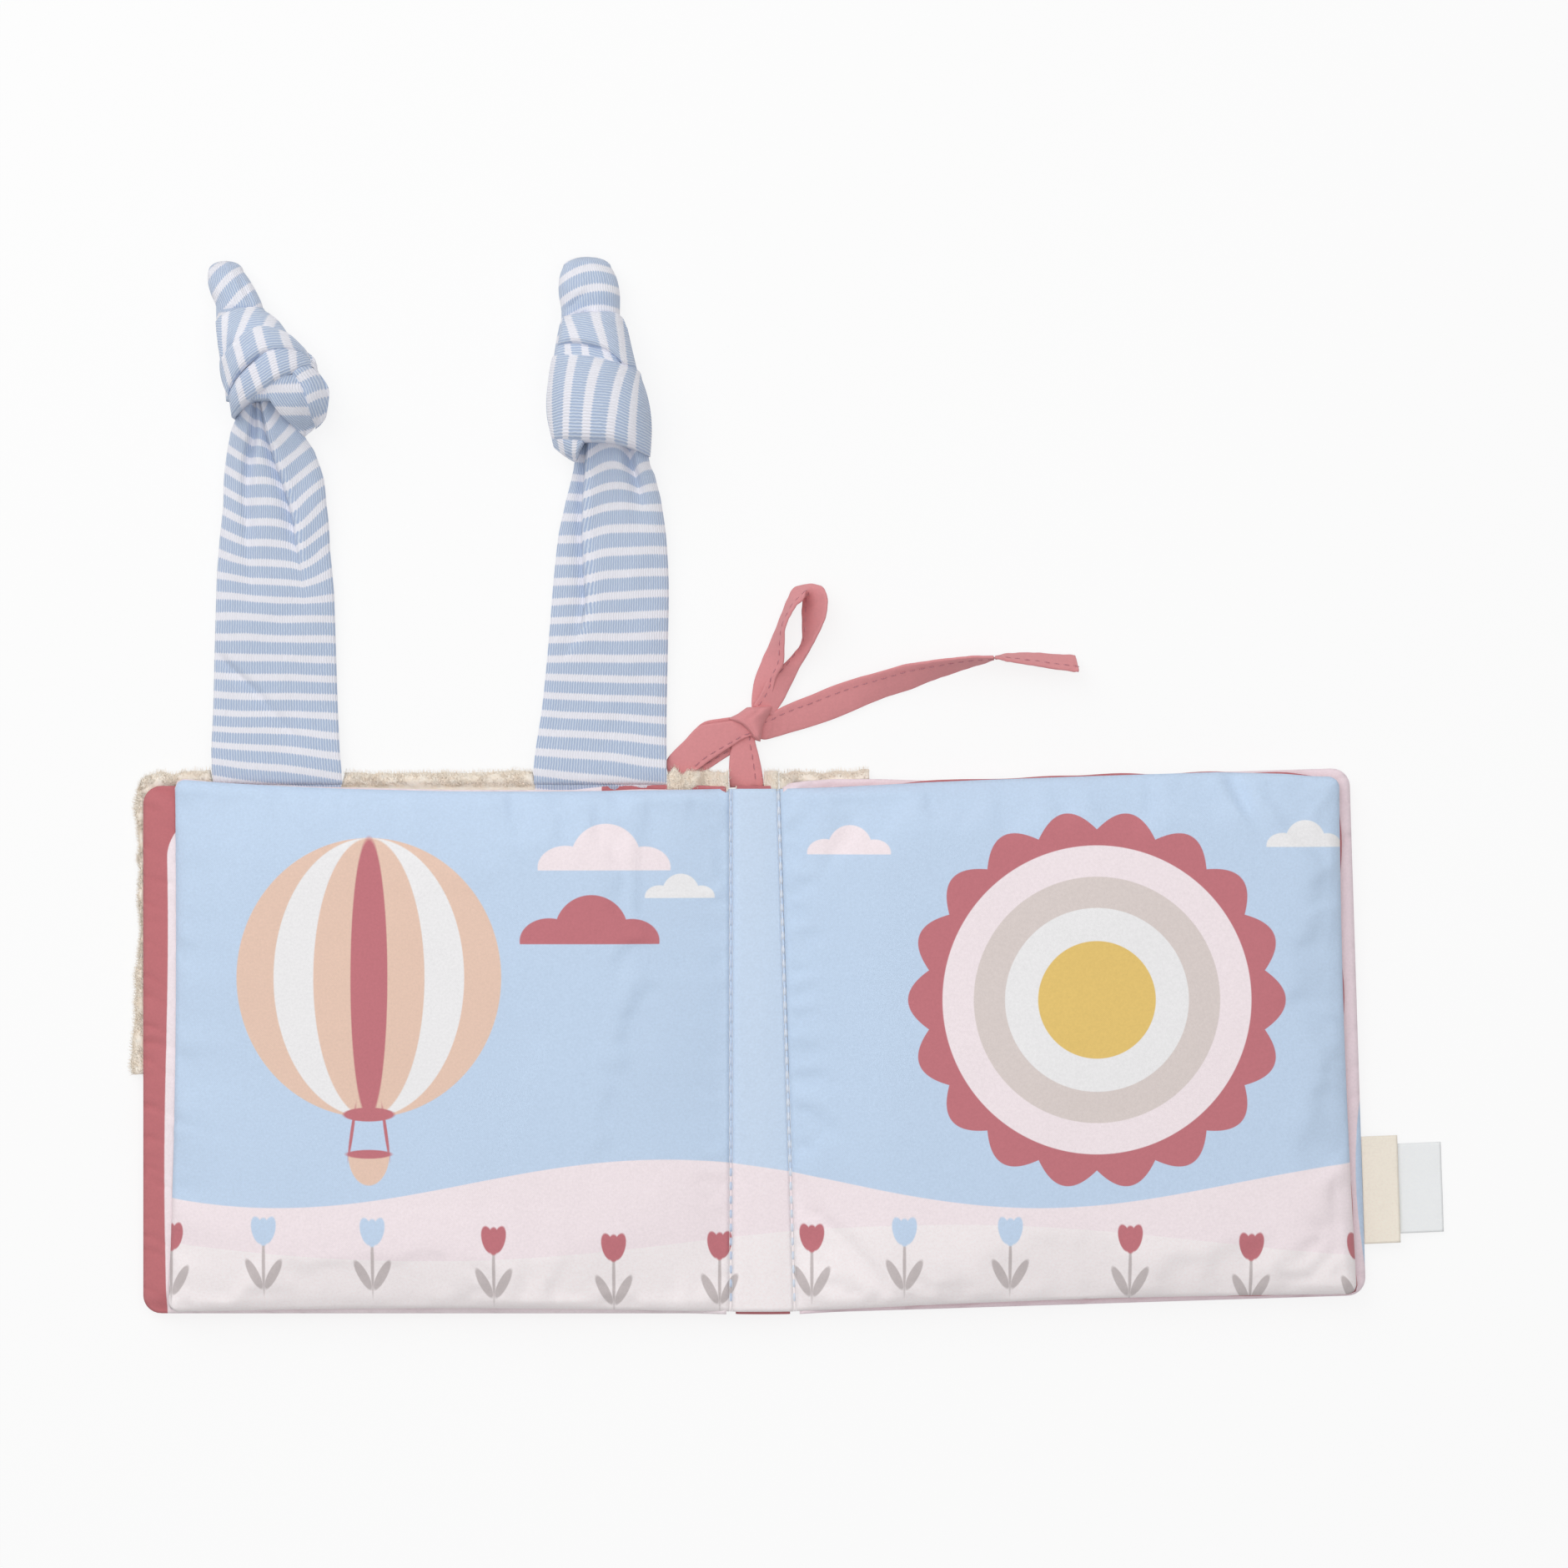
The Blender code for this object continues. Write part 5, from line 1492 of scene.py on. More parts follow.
LEFT_FOLDS = (
    {"at": ((0.54, 0.5), (0.608, 0.48), (0.673, 0.43), (0.739, 0.39), (0.804, 0.3), (0.869, 0.18),
            (0.928, 0.08), (1, 0.02)),
     "deep": ((0.54, 0), (0.62, 0.25), (0.68, 0.55), (0.75, 0.9), (1, 0.9)),
     "dip": ((0.5, 0), (0.6, 1.0), (0.7, 2.4), (1, 2.8)), "held": 1, "fade": 0.13,
     "right": ((0.48, 0), (0.54, 2.5), (0.6, 7), (0.67, 11), (0.8, 12), (0.9, 9.5), (1, 8)),
     "sides": (0.2, 0.045), "lip": 0.07},
    {"at": ((0.45, -0.3), (0.54, -0.35), (0.67, -0.47), (0.8, -0.56), (0.87, -0.53), (0.93, -0.48),
            (1, -0.34)),
     "deep": ((0.45, 0), (0.55, 0.12), (0.7, 0.3), (0.85, 0.55), (0.95, 0.9), (1, 0.9)),
     "left": ((0.45, 0), (0.54, 2.5), (0.66, 5.7), (0.8, 7), (1, 6)), "sides": (0.09, 0.13)},
    {"at": ((0.13, 0.33), (0.268, -0.32), (0.373, -0.96)),
     "deep": ((0.08, 0), (0.15, 0.45), (0.3, 0.65), (0.37, 0.55), (0.42, 0)), "sides": (0.18, 0.07)},
)
RIGHT_FOLDS = (
    {"at": ((0.379, -0.79), (0.425, -0.65), (0.49, -0.445), (0.575, -0.377), (0.673, -0.447),
            (0.804, -0.54), (0.934, -0.64), (1, -0.68)),
     "deep": ((0.36, 0), (0.42, 0.2), (0.5, 0.45), (0.58, 0.7), (0.67, 0.85), (1, 0.9)),
     "shelf": ((0.4, 0), (0.55, 0.2), (1, 0.3)),
     "dip": ((0.36, 0), (0.45, 1.2), (0.6, 2.4), (0.85, 3.2), (1, 4.2)), "held": -1, "fade": 0.3,
     "sides": (0.2, 0.05), "lip": 0.08},
    {"at": ((0.85, 0.62), (1, 0.5)), "deep": ((0.86, 0), (0.92, 0.45), (1, 0.8)),
     "dip": ((0.84, 0), (1, 4.0)), "held": 0, "fade": 0.22, "sides": (0.16, 0.1)},
)
LEFT_REACH = {"length": 8.5 * MM, "narrow": 0.5, "lean": -1.5 * MM}
RIGHT_REACH = {"length": 7.0 * MM, "narrow": 0.12, "lean": 0.0}
LEFT_EDGES = (((0, 0), (0.1, -0.7), (0.35, -0.9), (0.6, -0.8), (0.7, -0.5), (0.8, 0.2), (1, 0)),
              ((0, 0), (0.1, -0.6), (0.54, -0.7), (0.67, -1.4), (0.8, -1.3), (0.93, -0.3), (1, 0)))
LEFT_RISE = ((0, 1.9), (0.2, 1.5), (0.35, 1.1), (0.5, 0.6), (0.65, 0))
LEFT_FOOT = ((0, 5.3), (0.04, 4.7), (0.09, 3.9), (0.14, 3.0), (0.18, 1.9), (0.24, 1.1), (0.3, 1.1),
             (0.42, 0.7), (0.6, 0))
RIGHT_FOOT = ((0, 4.2), (0.07, 3.9), (0.12, 3.7), (0.18, 3.1), (0.24, 2.1), (0.3, 1.2), (0.38, 0))


def make_strap(side, folds, reach_in, edges, pitch, first_line, foot, rise):
    """A flat tube with folds; it reaches into the knot, and its stripes tilt at the foot."""
    node = side + "_ear_strap"
    table = rows_of(node)
    start, end = table[0][0], table[-1][0]
    rings, along = [], []
    for y in steps(start, end + reach_in["length"], STRAP_GRID):
        t = min(1, (y - start) / (end - start))
        inside = max(0, (y - end) / reach_in["length"])
        low_x, high_x, low_z, high_z = between(table, y)
        low_x += read_table(edges[0], t) * MM
        high_x += read_table(edges[1], t) * MM
        half_x = (high_x - low_x) / 2 * (1 - reach_in["narrow"] * inside)
        half_z = (high_z - low_z) / 2
        middle = (low_x + high_x) / 2 + reach_in["lean"] * inside
        ring = []
        for across, up in oval(184, 0.8, 0.7):
            depth, shift, lip = folded(across, t, folds)
            shift += read_table(foot, t) * (1 - across) / 2 + read_table(rise, t)
            soft = 0.45 * MM * rough(across * 3, t * 7, 2.0) * (up > 0) * min(1, t * 6)
            height = half_z * up * (1 - min(0.92, depth) * (up > 0)) + soft
            place_x = middle + half_x * (across - lip * (up > 0))
            ring.append(Vector((place_x, y, low_z + half_z + height)))
            sag = 0.9 * MM * rough(across * 0.9, t * 4, 6.0)
            along.append((y - shift * MM - first_line * MM + sag) * STRIPE_PITCH / (pitch * MM))
        rings.append(ring)
    mesh = tube_mesh("strap", rings)
    set_lengths(mesh, along)
    add_piece(side + "_ear_cloth", mesh, jersey, side + "_ear", [node])


def make_foot(side, pitch, first_line, foot, rise):
    """The flat end of the tube, sewn in between the layers of the front cover."""
    table = rows_of(side + "_ear_strap")
    start, first = table[0][0], COVER_HALF - 1.8 * MM
    low_x, high_x = between(table, start)[:2]
    half_x = (high_x - low_x) / 2 - 0.3 * MM
    rings, along = [], []
    for y in steps(first, start, 0.5 * MM):
        level = 3.35 * MM + 0.7 * MM * (y - first) / (start - first)
        ring = []
        for across, up in oval(60, 1, 1):
            ring.append(Vector(((low_x + high_x) / 2 + half_x * across, y, level + 0.15 * MM * up)))
            shift = foot[0][1] * (1 - across) / 2 + rise[0][1] + first_line
            along.append((y - shift * MM) * STRIPE_PITCH / (pitch * MM))
        rings.append(ring)
    mesh = tube_mesh("foot", rings)
    set_lengths(mesh, along)
    add_piece(side + "_ear_foot", mesh, jersey, "front_cover")


for side, folds, reach_in, edges, pitch, first_line, foot, rise in (
        ("left", LEFT_FOLDS, LEFT_REACH, LEFT_EDGES, 5.5, 109.1, LEFT_FOOT, LEFT_RISE),
        ("right", RIGHT_FOLDS, RIGHT_REACH, (NONE, NONE), 5.88, 146.1, RIGHT_FOOT, NONE)):
    make_strap(side, folds, reach_in, edges, pitch, first_line, foot, rise)
    make_foot(side, pitch, first_line, foot, rise)

# %% [markdown]
# A knot in a wide tube shows as bands that wrap over each other. Each band is drawn in plan,
# one row of places for every stripe that crosses it: its lower edge, its middle and its
# upper edge, in millimetres. The knot's round body gives the height, and a band lies on it
# with rolled edges, higher the later it was wrapped.

# %% Bands of the knots
LEFT_KNOT_TOP_ROWS = (
    (0.2, (-146.0, 187.9), (-147.0, 193.3), (-148.0, 198.7)),
    (1, (-144.6, 187.9), (-144.9, 194.4), (-145.2, 200.9)),
    (2, (-141.7, 191.9), (-139.8, 197.3), (-138.0, 202.7)),
    (3, (-133.7, 192.9), (-132.9, 196.6), (-132.2, 200.2)),
    (3.6, (-127.8, 194.0), (-128.2, 194.8), (-128.5, 195.5)),
)
LEFT_KNOT_INSIDE_ROWS = (
    (0.5, (-132.9, 182.4), (-127.8, 183.2), (-122.7, 183.9)),
    (1, (-133.7, 179.5), (-128.2, 179.7), (-122.7, 179.9)),
    (2, (-130.4, 173.9), (-126.1, 173.8), (-121.8, 173.7)),
    (2.6, (-126.7, 170.1), (-124.0, 170.4), (-121.2, 170.8)),
    (3, (-124.2, 167.6), (-122.9, 168.6), (-121.6, 169.7)),
)
LEFT_KNOT_LOOP_ROWS = (
    (0.4, (-126.4, 183.9), (-124.6, 185.4), (-122.7, 186.8)),
    (1, (-124.9, 182.1), (-122.6, 183.6), (-120.3, 185.1)),
    (1.5, (-123.4, 179.5), (-120.7, 180.8), (-117.9, 182.1)),
    (2, (-122.5, 176.4), (-119.8, 177.9), (-117.0, 179.5)),
    (2.6, (-121.8, 173.4), (-119.6, 174.4), (-117.4, 175.5)),
    (3, (-121.2, 170.3), (-119.7, 171.4), (-118.1, 172.6)),
    (3.3, (-121.2, 169.7), (-120.4, 170.2), (-119.6, 170.8)),
)
LEFT_KNOT_LIP_ROWS = (
    (0.3, (-143.2, 172.3), (-143.4, 175.6), (-143.7, 178.8)),
    (1, (-139.5, 175.7), (-140.2, 179.2), (-141.0, 182.8)),
    (2, (-134.6, 178.8), (-135.9, 182.6), (-137.3, 186.4)),
    (3, (-130.0, 181.9), (-131.1, 186.4), (-132.2, 190.8)),
    (4, (-125.6, 184.1), (-126.0, 188.0), (-126.4, 191.9)),
    (4.8, (-121.6, 186.1), (-121.6, 187.7), (-121.6, 189.3)),
    (5.1, (-120.0, 184.2), (-120.2, 185.5), (-120.3, 186.8)),
)
LEFT_KNOT_BAND_ROWS = (
    (0.35, (-143.5, 177.5), (-146.0, 183.2), (-146.0, 188.4)),
    (1, (-142.7, 180.3), (-143.9, 184.7), (-145.2, 189.0)),
    (2, (-139.1, 184.8), (-140.3, 188.9), (-141.5, 193.1)),
    (3, (-133.5, 189.0), (-134.6, 192.9), (-135.7, 196.9)),
    (4, (-126.7, 190.1), (-127.8, 192.9), (-128.9, 195.8)),
    (4.7, (-122.5, 188.6), (-123.3, 190.2), (-124.2, 191.9)),
    (5, (-120.5, 185.7), (-121.5, 187.7), (-122.5, 189.7)),
)
RIGHT_KNOT_LOOP_ROWS = (
    (0.5, (-55.8, 164.4), (-56.3, 166.7), (-56.8, 169.0)),
    (1, (-53.0, 162.3), (-53.5, 164.7), (-53.9, 167.1)),
    (2, (-50.1, 160.9), (-49.9, 163.6), (-49.7, 166.3)),
    (2.6, (-49.0, 162.5), (-48.2, 164.2), (-47.4, 165.9)),
)
RIGHT_KNOT_FOLD_ROWS = (
    (0.3, (-56.2, 186.9), (-55.4, 189.4), (-54.6, 191.9)),
    (1, (-51.3, 187.3), (-51.6, 190.1), (-52.0, 192.8)),
    (2, (-46.7, 187.3), (-46.9, 189.8), (-47.1, 192.3)),
    (3, (-40.0, 186.0), (-40.9, 188.6), (-41.7, 191.1)),
    (3.5, (-36.6, 185.2), (-37.5, 187.1), (-38.3, 189.0)),
)
RIGHT_KNOT_BAND_ROWS = (
    (0.7, (-56.6, 168.4), (-57.7, 176.4), (-56.3, 187.3)),
    (1, (-55.9, 166.4), (-56.8, 177.6), (-55.5, 189.1)),
    (2, (-52.3, 166.0), (-51.6, 179.1), (-49.9, 189.2)),
    (3, (-46.9, 165.7), (-45.7, 178.5), (-42.9, 188.2)),
    (4, (-40.4, 165.4), (-38.7, 177.2), (-36.0, 186.5)),
    (5, (-34.5, 164.0), (-33.8, 174.9), (-32.5, 185.0)),
    (5.8, (-29.7, 162.0), (-29.3, 173.0), (-31.9, 183.1)),
)
RIGHT_KNOT_TOP_ROWS = (
    (0.3, (-54.6, 191.5), (-53.9, 195.8), (-53.2, 200.1)),
    (1, (-49.0, 191.9), (-50.8, 196.1), (-52.5, 200.3)),
    (2, (-41.3, 189.9), (-43.0, 195.7), (-44.6, 201.4)),
    (3, (-36.2, 186.1), (-37.2, 193.5), (-38.1, 200.9)),
    (3.6, (-33.2, 185.6), (-34.5, 191.3), (-35.8, 197.0)),
)


class KnotBody:
    """The round body of a knot, read from its solid's outline."""

    def __init__(self, node):
        self.rows = rows_of(node)

    def heights(self, x, y):
        """Top and bottom of the body at a place, and how near the place is to its middle."""
        y = min(max(y, self.rows[0][0]), self.rows[-1][0])
        low_x, high_x, low_z, high_z = between(self.rows, y)
        away = (x - (low_x + high_x) / 2) / ((high_x - low_x) / 2)
        rise = math.sqrt(max(0.0, 1 - min(1, abs(away)) ** 2.4))
        middle, half_z = (low_z + high_z) / 2, (high_z - low_z) / 2
        return middle + 0.84 * half_z * rise, middle - half_z * rise, rise


def in_plan(rows, count):
    """Rows of a stripe and its three places, in metres, with more rows between them."""
    return smooth_rows([[row[0]] + [part * MM for place in row[1:] for part in place]
                        for row in rows], count)


BAND_SHARES = [0.5 - 0.5 * math.cos(math.pi * k / 26) for k in range(27)]
BAND_ROLL = 1.5 * MM


def make_band(name, body, knot, rows, layer, crown, seed):
    top, bottom, marks = [], [], []
    fine = in_plan(rows, 12)
    for index, (stripe, ax, ay, mx, my, bx, by) in enumerate(fine):
        end_roll = roll_in(min(index, len(fine) - 1 - index) / 5)
        width = math.hypot(bx - ax, by - ay)
        upper, lower = [], []
        for t in BAND_SHARES:
            wa, wm, wb = (1 - t) * (1 - 2 * t), 4 * t * (1 - t), t * (2 * t - 1)
            x, y = ax * wa + mx * wm + bx * wb, ay * wa + my * wm + by * wb
            roll = roll_in(min(t, 1 - t) * width / BAND_ROLL)
            roof, floor, rise = knot.heights(x, y)
            soft = 0.45 * rough(stripe * 0.9, t * 2.5, seed)
            lift = (layer * roll * (0.45 + 0.55 * end_roll) + crown * (1 - (2 * t - 1) ** 2)
                    + soft * roll)
            z = roof + lift * MM * (0.35 + 0.65 * rise)
            below = max(floor - 0.25 * layer * MM, (0.5 - 0.15 * layer) * MM)
            upper.append(Vector((x, y, max(z, below + 0.2 * MM))))
            lower.append(Vector((x, y, below)))
            marks.append((t * width, (stripe + 0.4) * STRIPE_PITCH))
        top.append(upper)
        bottom.append(lower)
    mesh = shell_mesh(name, top, bottom)
    layer_map = mesh.uv_layers.new(name="length")
    for loop in mesh.loops:
        layer_map.data[loop.index].uv = marks[loop.vertex_index % len(marks)]
    add_piece(name, mesh, jersey, body)


CORE_START = 7.5 * MM


def make_core(side):
    """The body under the bands; it fills the knot from its first row to its last."""
    node = side + "_ear_knot"
    table = rows_of(node)
    rings = []
    for y in steps(table[0][0] + CORE_START, table[-1][0], 1.0 * MM):
        low_x, high_x, low_z, high_z = between(table, y)
        middle = Vector(((low_x + high_x) / 2, y, (low_z + high_z) / 2))
        rings.append(ring_points(middle, Vector((1, 0, 0)), UP, (high_x - low_x) / 2 * 0.93,
                                 (high_z - low_z) / 2 * 0.8, 48))
    add_piece(side + "_knot_core", tube_mesh("core", rings), jersey, side + "_ear",
              [node])


make_core("left")
make_core("right")
knots = {"left": KnotBody("left_ear_knot"), "right": KnotBody("right_ear_knot")}
for seed, (side, part, rows, layer, crown) in enumerate((
        ("left", "top", LEFT_KNOT_TOP_ROWS, 1.0, 0.5),
        ("left", "inside", LEFT_KNOT_INSIDE_ROWS, 0.4, 0.5),
        ("left", "loop", LEFT_KNOT_LOOP_ROWS, 1.2, 0.9),
        ("left", "lip", LEFT_KNOT_LIP_ROWS, 2.5, 0.5),
        ("left", "band", LEFT_KNOT_BAND_ROWS, 3.4, 0.5),
        ("right", "loop", RIGHT_KNOT_LOOP_ROWS, 0.8, 0.5),
        ("right", "fold", RIGHT_KNOT_FOLD_ROWS, 1.5, 0.5),
        ("right", "band", RIGHT_KNOT_BAND_ROWS, 2.5, 0.5),
        ("right", "top", RIGHT_KNOT_TOP_ROWS, 3.6, 0.5)), start=3):
    make_band(side + "_knot_" + part, side + "_ear", knots[side], rows, layer, crown, seed)

# %% [markdown]
# Above the knot the end of the tube stands out flat and closes in a round. A groove runs
# up from the knot in each.

# %% Ear tips
DOME = 2.8 * MM


def make_tip(side, reach_back, tilt, bow, offset, crease):
    """The rounded end of the tube above the knot; it reaches back into the knot."""
    node = side + "_ear_tip"
    table = rows_of(node)
    start, end = table[0][0], table[-1][0]
    rings, along = [], []
    for y in steps(start - reach_back, end, 0.25 * MM):
        low_x, high_x, low_z, high_z = between(table, max(y, start))
        if y > end - DOME:
            low_x, high_x, low_z, high_z = between(table, end - DOME)
        close = math.sqrt(max(0.0, 1 - max(0, (y - end + DOME) / (DOME + 0.03 * MM)) ** 2))
        sunk = 1 - 0.35 * max(0, (start - y) / reach_back)
        half_x, half_z = (high_x - low_x) / 2 * close, (high_z - low_z) / 2 * close * sunk
        middle = (low_x + high_x) / 2
        ring = []
        for across, up in oval(64, 0.85, 0.85):
            soft = 0.5 * MM * rough(across * 2, y / (5 * MM), 3) * (up > 0)
            x = middle + half_x * across
            (from_x, from_y), (to_x, to_y) = crease
            share = (y / MM - from_y) / (to_y - from_y)
            off = x / MM - (from_x + (to_x - from_x) * share)
            fade = max(0, min(1, 3 * share, 3 - 3 * share))
            groove = 0.9 * MM * math.exp(-(off / 0.9) ** 2) * fade
            z = (low_z + high_z) / 2 + half_z * up + (soft - groove * (up > 0)) * close
            ring.append(Vector((x, y, z)))
            along.append(y - tilt * across * half_x + bow * across ** 2 + offset)
        rings.append(ring)
    mesh = tube_mesh("tip", rings)
    set_lengths(mesh, along)
    add_piece(side + "_ear_end", mesh, jersey, side + "_ear", [node])


make_tip("left", 4 * MM, 0.8, 0.5 * MM, 1.0 * MM, ((-138.0, 203.0), (-142.7, 213.0)))
make_tip("right", 4 * MM, 0.2, 2.2 * MM, -2.2 * MM, ((-53.5, 201.0), (-46.0, 207.5)))

# %% [markdown]
# The tie is one folded cotton tape, stitched along an edge and tied in a small bow at the
# top of the spine. It is modelled directly as a flat strap. A route gives both of its edges
# in millimetres, so it can lie flat, stand on an edge and twist as the real tape does.

# %% Ribbon tie
tape_cotton = plain_cotton("ribbon cotton", srgb(222, 147, 150))
tape_thread = thread_material("ribbon thread", srgb(178, 88, 102))
RIBBON_THICKNESS = 1.3 * MM
TAPE_PITCH = 2.7 * MM
TAPE_STITCH = (1.9 * MM, 1.5 * MM)
UPPER_LOOP = (
    ((-1.6, 90.1, 2.6), (1.9, 89.2, 2.4)),
    ((-2.0, 94.4, 2.4), (2.5, 93.6, 2.6)),
    ((-1.8, 97.5, 1.8), (3.8, 97.5, 3.4)),
    ((-1.0, 101.6, 1.2), (4.7, 101.8, 4.6)),
    ((1.1, 107.0, 0.8), (6.7, 105.7, 6.4)),
    ((3.0, 111.0, 0.7), (6.8, 111.0, 7.8)),
    ((4.8, 115.1, 0.7), (7.1, 115.7, 8.9)),
    ((6.7, 120.1, 0.7), (8.5, 118.8, 9.2)),
    ((8.3, 124.0, 0.7), (9.9, 121.2, 9.0)),
    ((9.9, 126.5, 0.8), (11.7, 122.8, 8.0)),
    ((13.4, 127.3, 2.2), (12.8, 124.5, 7.6)),
    ((16.7, 127.0, 5.6), (12.8, 124.1, 4.2)),
    ((18.3, 124.9, 8.0), (12.1, 122.9, 1.4)),
    ((18.7, 121.4, 8.6), (11.9, 119.2, 0.8)),
    ((17.7, 117.0, 8.4), (12.0, 114.9, 0.7)),
    ((15.6, 112.7, 7.4), (11.8, 111.4, 0.7)),
    ((13.4, 108.6, 5.4), (10.4, 109.2, 1.6)),
    ((10.9, 104.0, 2.8), (6.7, 105.5, 3.2)),
    ((8.8, 99.7, 2.0), (2.5, 101.4, 3.8)),
    ((6.4, 95.1, 2.2), (0.6, 97.5, 4.2)),
    ((3.8, 91.4, 2.8), (-1.6, 94.0, 3.8)),
)
LEFT_LOOP_BACK = (
    ((-0.7, 92.5, 2.2), (-0.7, 84.9, 1.6)),
    ((-5.1, 91.4, 1.9), (-5.1, 82.3, 1.2)),
    ((-10.3, 90.7, 1.5), (-9.4, 79.7, 1.0)),
    ((-15.1, 89.7, 1.2), (-13.3, 77.1, 0.9)),
    ((-18.6, 86.6, 1.0), (-16.4, 75.2, 0.9)),
    ((-21.6, 82.7, 1.0), (-18.3, 73.8, 0.9)),
    ((-24.1, 80.5, 1.3), (-20.1, 72.6, 1.2)),
)
LEFT_LOOP_FRONT = (
    ((-2.9, 91.6, 4.2), (-1.6, 86.0, 3.6)),
    ((-6.0, 90.5, 4.0), (-4.2, 85.1, 3.4)),
    ((-9.0, 89.8, 3.6), (-7.7, 82.9, 3.0)),
    ((-12.9, 89.3, 3.2), (-11.2, 80.6, 2.7)),
    ((-16.8, 88.3, 3.0), (-14.4, 78.4, 2.5)),
    ((-20.4, 84.6, 2.9), (-17.2, 76.2, 2.3)),
    ((-23.3, 81.8, 2.6), (-19.8, 74.4, 2.1)),
    ((-25.2, 79.4, 2.0), (-22.0, 73.4, 1.7)),
    ((-25.3, 77.2, 1.8), (-24.3, 73.6, 1.6)),
)
ROOT = (
    ((-6.6, 86.2, 2.4), (-1.2, 87.0, 2.6)),
    ((-7.4, 83.2, 2.2), (-1.0, 84.4, 2.5)),
    ((-8.0, 80.3, 2.2), (-0.0, 80.5, 2.3)),
    ((-8.2, 76.2, 2.2), (0.9, 76.2, 2.2)),
    ((-8.0, 71.7, 2.3), (1.4, 72.2, 2.3)),
)
TAIL = (
    ((0.6, 90.5, 2.8), (-1.2, 85.7, 2.2)),
    ((3.2, 91.8, 2.9), (1.5, 84.9, 1.5)),
    ((5.8, 93.5, 2.7), (4.9, 85.7, 1.0)),
    ((9.7, 95.3, 2.6), (9.0, 86.9, 0.9)),
    ((14.1, 97.0, 2.9), (13.8, 88.3, 0.9)),
    ((20.6, 99.7, 3.4), (21.2, 90.8, 0.9)),
    ((27.1, 101.8, 4.4), (28.4, 93.9, 1.0)),
    ((33.6, 103.5, 5.6), (34.9, 96.6, 1.0)),
    ((39.9, 105.3, 6.4), (40.7, 98.4, 1.0)),
    ((45.5, 106.1, 7.6), (46.3, 100.7, 0.9)),
    ((51.2, 106.8, 8.6), (51.9, 102.8, 0.9)),
    ((56.8, 107.3, 9.2), (57.4, 104.7, 0.8)),
    ((61.3, 107.4, 9.5), (62.1, 106.1, 0.8)),
    ((65.5, 107.0, 9.6), (65.7, 107.6, 0.8)),
    ((68.3, 106.3, 9.4), (68.1, 108.3, 0.8)),
    ((72.3, 105.6, 9.0), (71.9, 108.5, 0.8)),
    ((76.8, 104.9, 8.4), (76.4, 108.5, 0.8)),
    ((81.7, 104.1, 7.8), (81.3, 108.2, 0.8)),
    ((85.5, 103.6, 7.4), (85.9, 108.0, 0.8)),
    ((87.4, 103.4, 7.2), (86.7, 107.7, 0.8)),
)


def make_ribbon(name, pairs, stitch_at, nodes, count=8):
    """A tape between two edges, with its row of stitches at a share of the width."""
    flat = smooth_rows([[part * MM for edge in pair for part in edge] for pair in pairs], count)
    edges = [(Vector(row[:3]), Vector(row[3:])) for row in flat]
    middles = [(a + b) / 2 for a, b in edges]
    last = len(edges) - 1
    rings, row, ups = [], [], []
    for index, (first, second) in enumerate(edges):
        forward = (middles[min(last, index + 1)] - middles[max(0, index - 1)]).normalized()
        half = (first - second) / 2
        wide = half.normalized()
        normal = forward.cross(wide).normalized()
        if normal.z < 0:
            normal = -normal
        ring = []
        for across, up in oval(32, 0.5, 0.6):
            seam = 0.22 * math.exp(-((across - stitch_at) / 0.07) ** 2)
            full = RIBBON_THICKNESS / 2 * (0.78 + 0.2 * across ** 4 - seam)
            crinkle = 0.16 * MM * rough(index / count * 2.2, across * 1.6, 5)
            spot = middles[index] + half * across + normal * (up * full + crinkle)
            spot.z = max(spot.z, 0.1 * MM)
            ring.append(spot)
        rings.append(ring)
        row.append(middles[index] + half * stitch_at + normal * (RIBBON_THICKNESS * 0.36))
        ups.append(normal)
    add_piece(name, tube_mesh("tape", rings), tape_cotton, "tie", nodes)
    places = stitch_row(row, ups, TAPE_PITCH, *TAPE_STITCH)
    add_piece(name + "_stitches", copies("stitches", stitch_points, stitch_faces, places),
              tape_thread, "tie")


for name, pairs, stitch_at, nodes in (
        ("tie_upper_bow", UPPER_LOOP, -0.62, ["tie_upper_loop"]),
        ("tie_left_back", LEFT_LOOP_BACK, -0.75, ["tie_left_loop"]),
        ("tie_left_front", LEFT_LOOP_FRONT, -0.7, ()),
        ("tie_root", ROOT, -0.55, ["tie_anchor"]),
        ("tie_tail", TAIL, 0.5, ["tie_long_tail"])):
    make_ribbon(name, pairs, stitch_at, nodes)

# %% [markdown]
# The knot of the bow is the tape wrapped once over itself: a short crowned band, widest
# where it crosses the left loop and drawn together at its lower end.

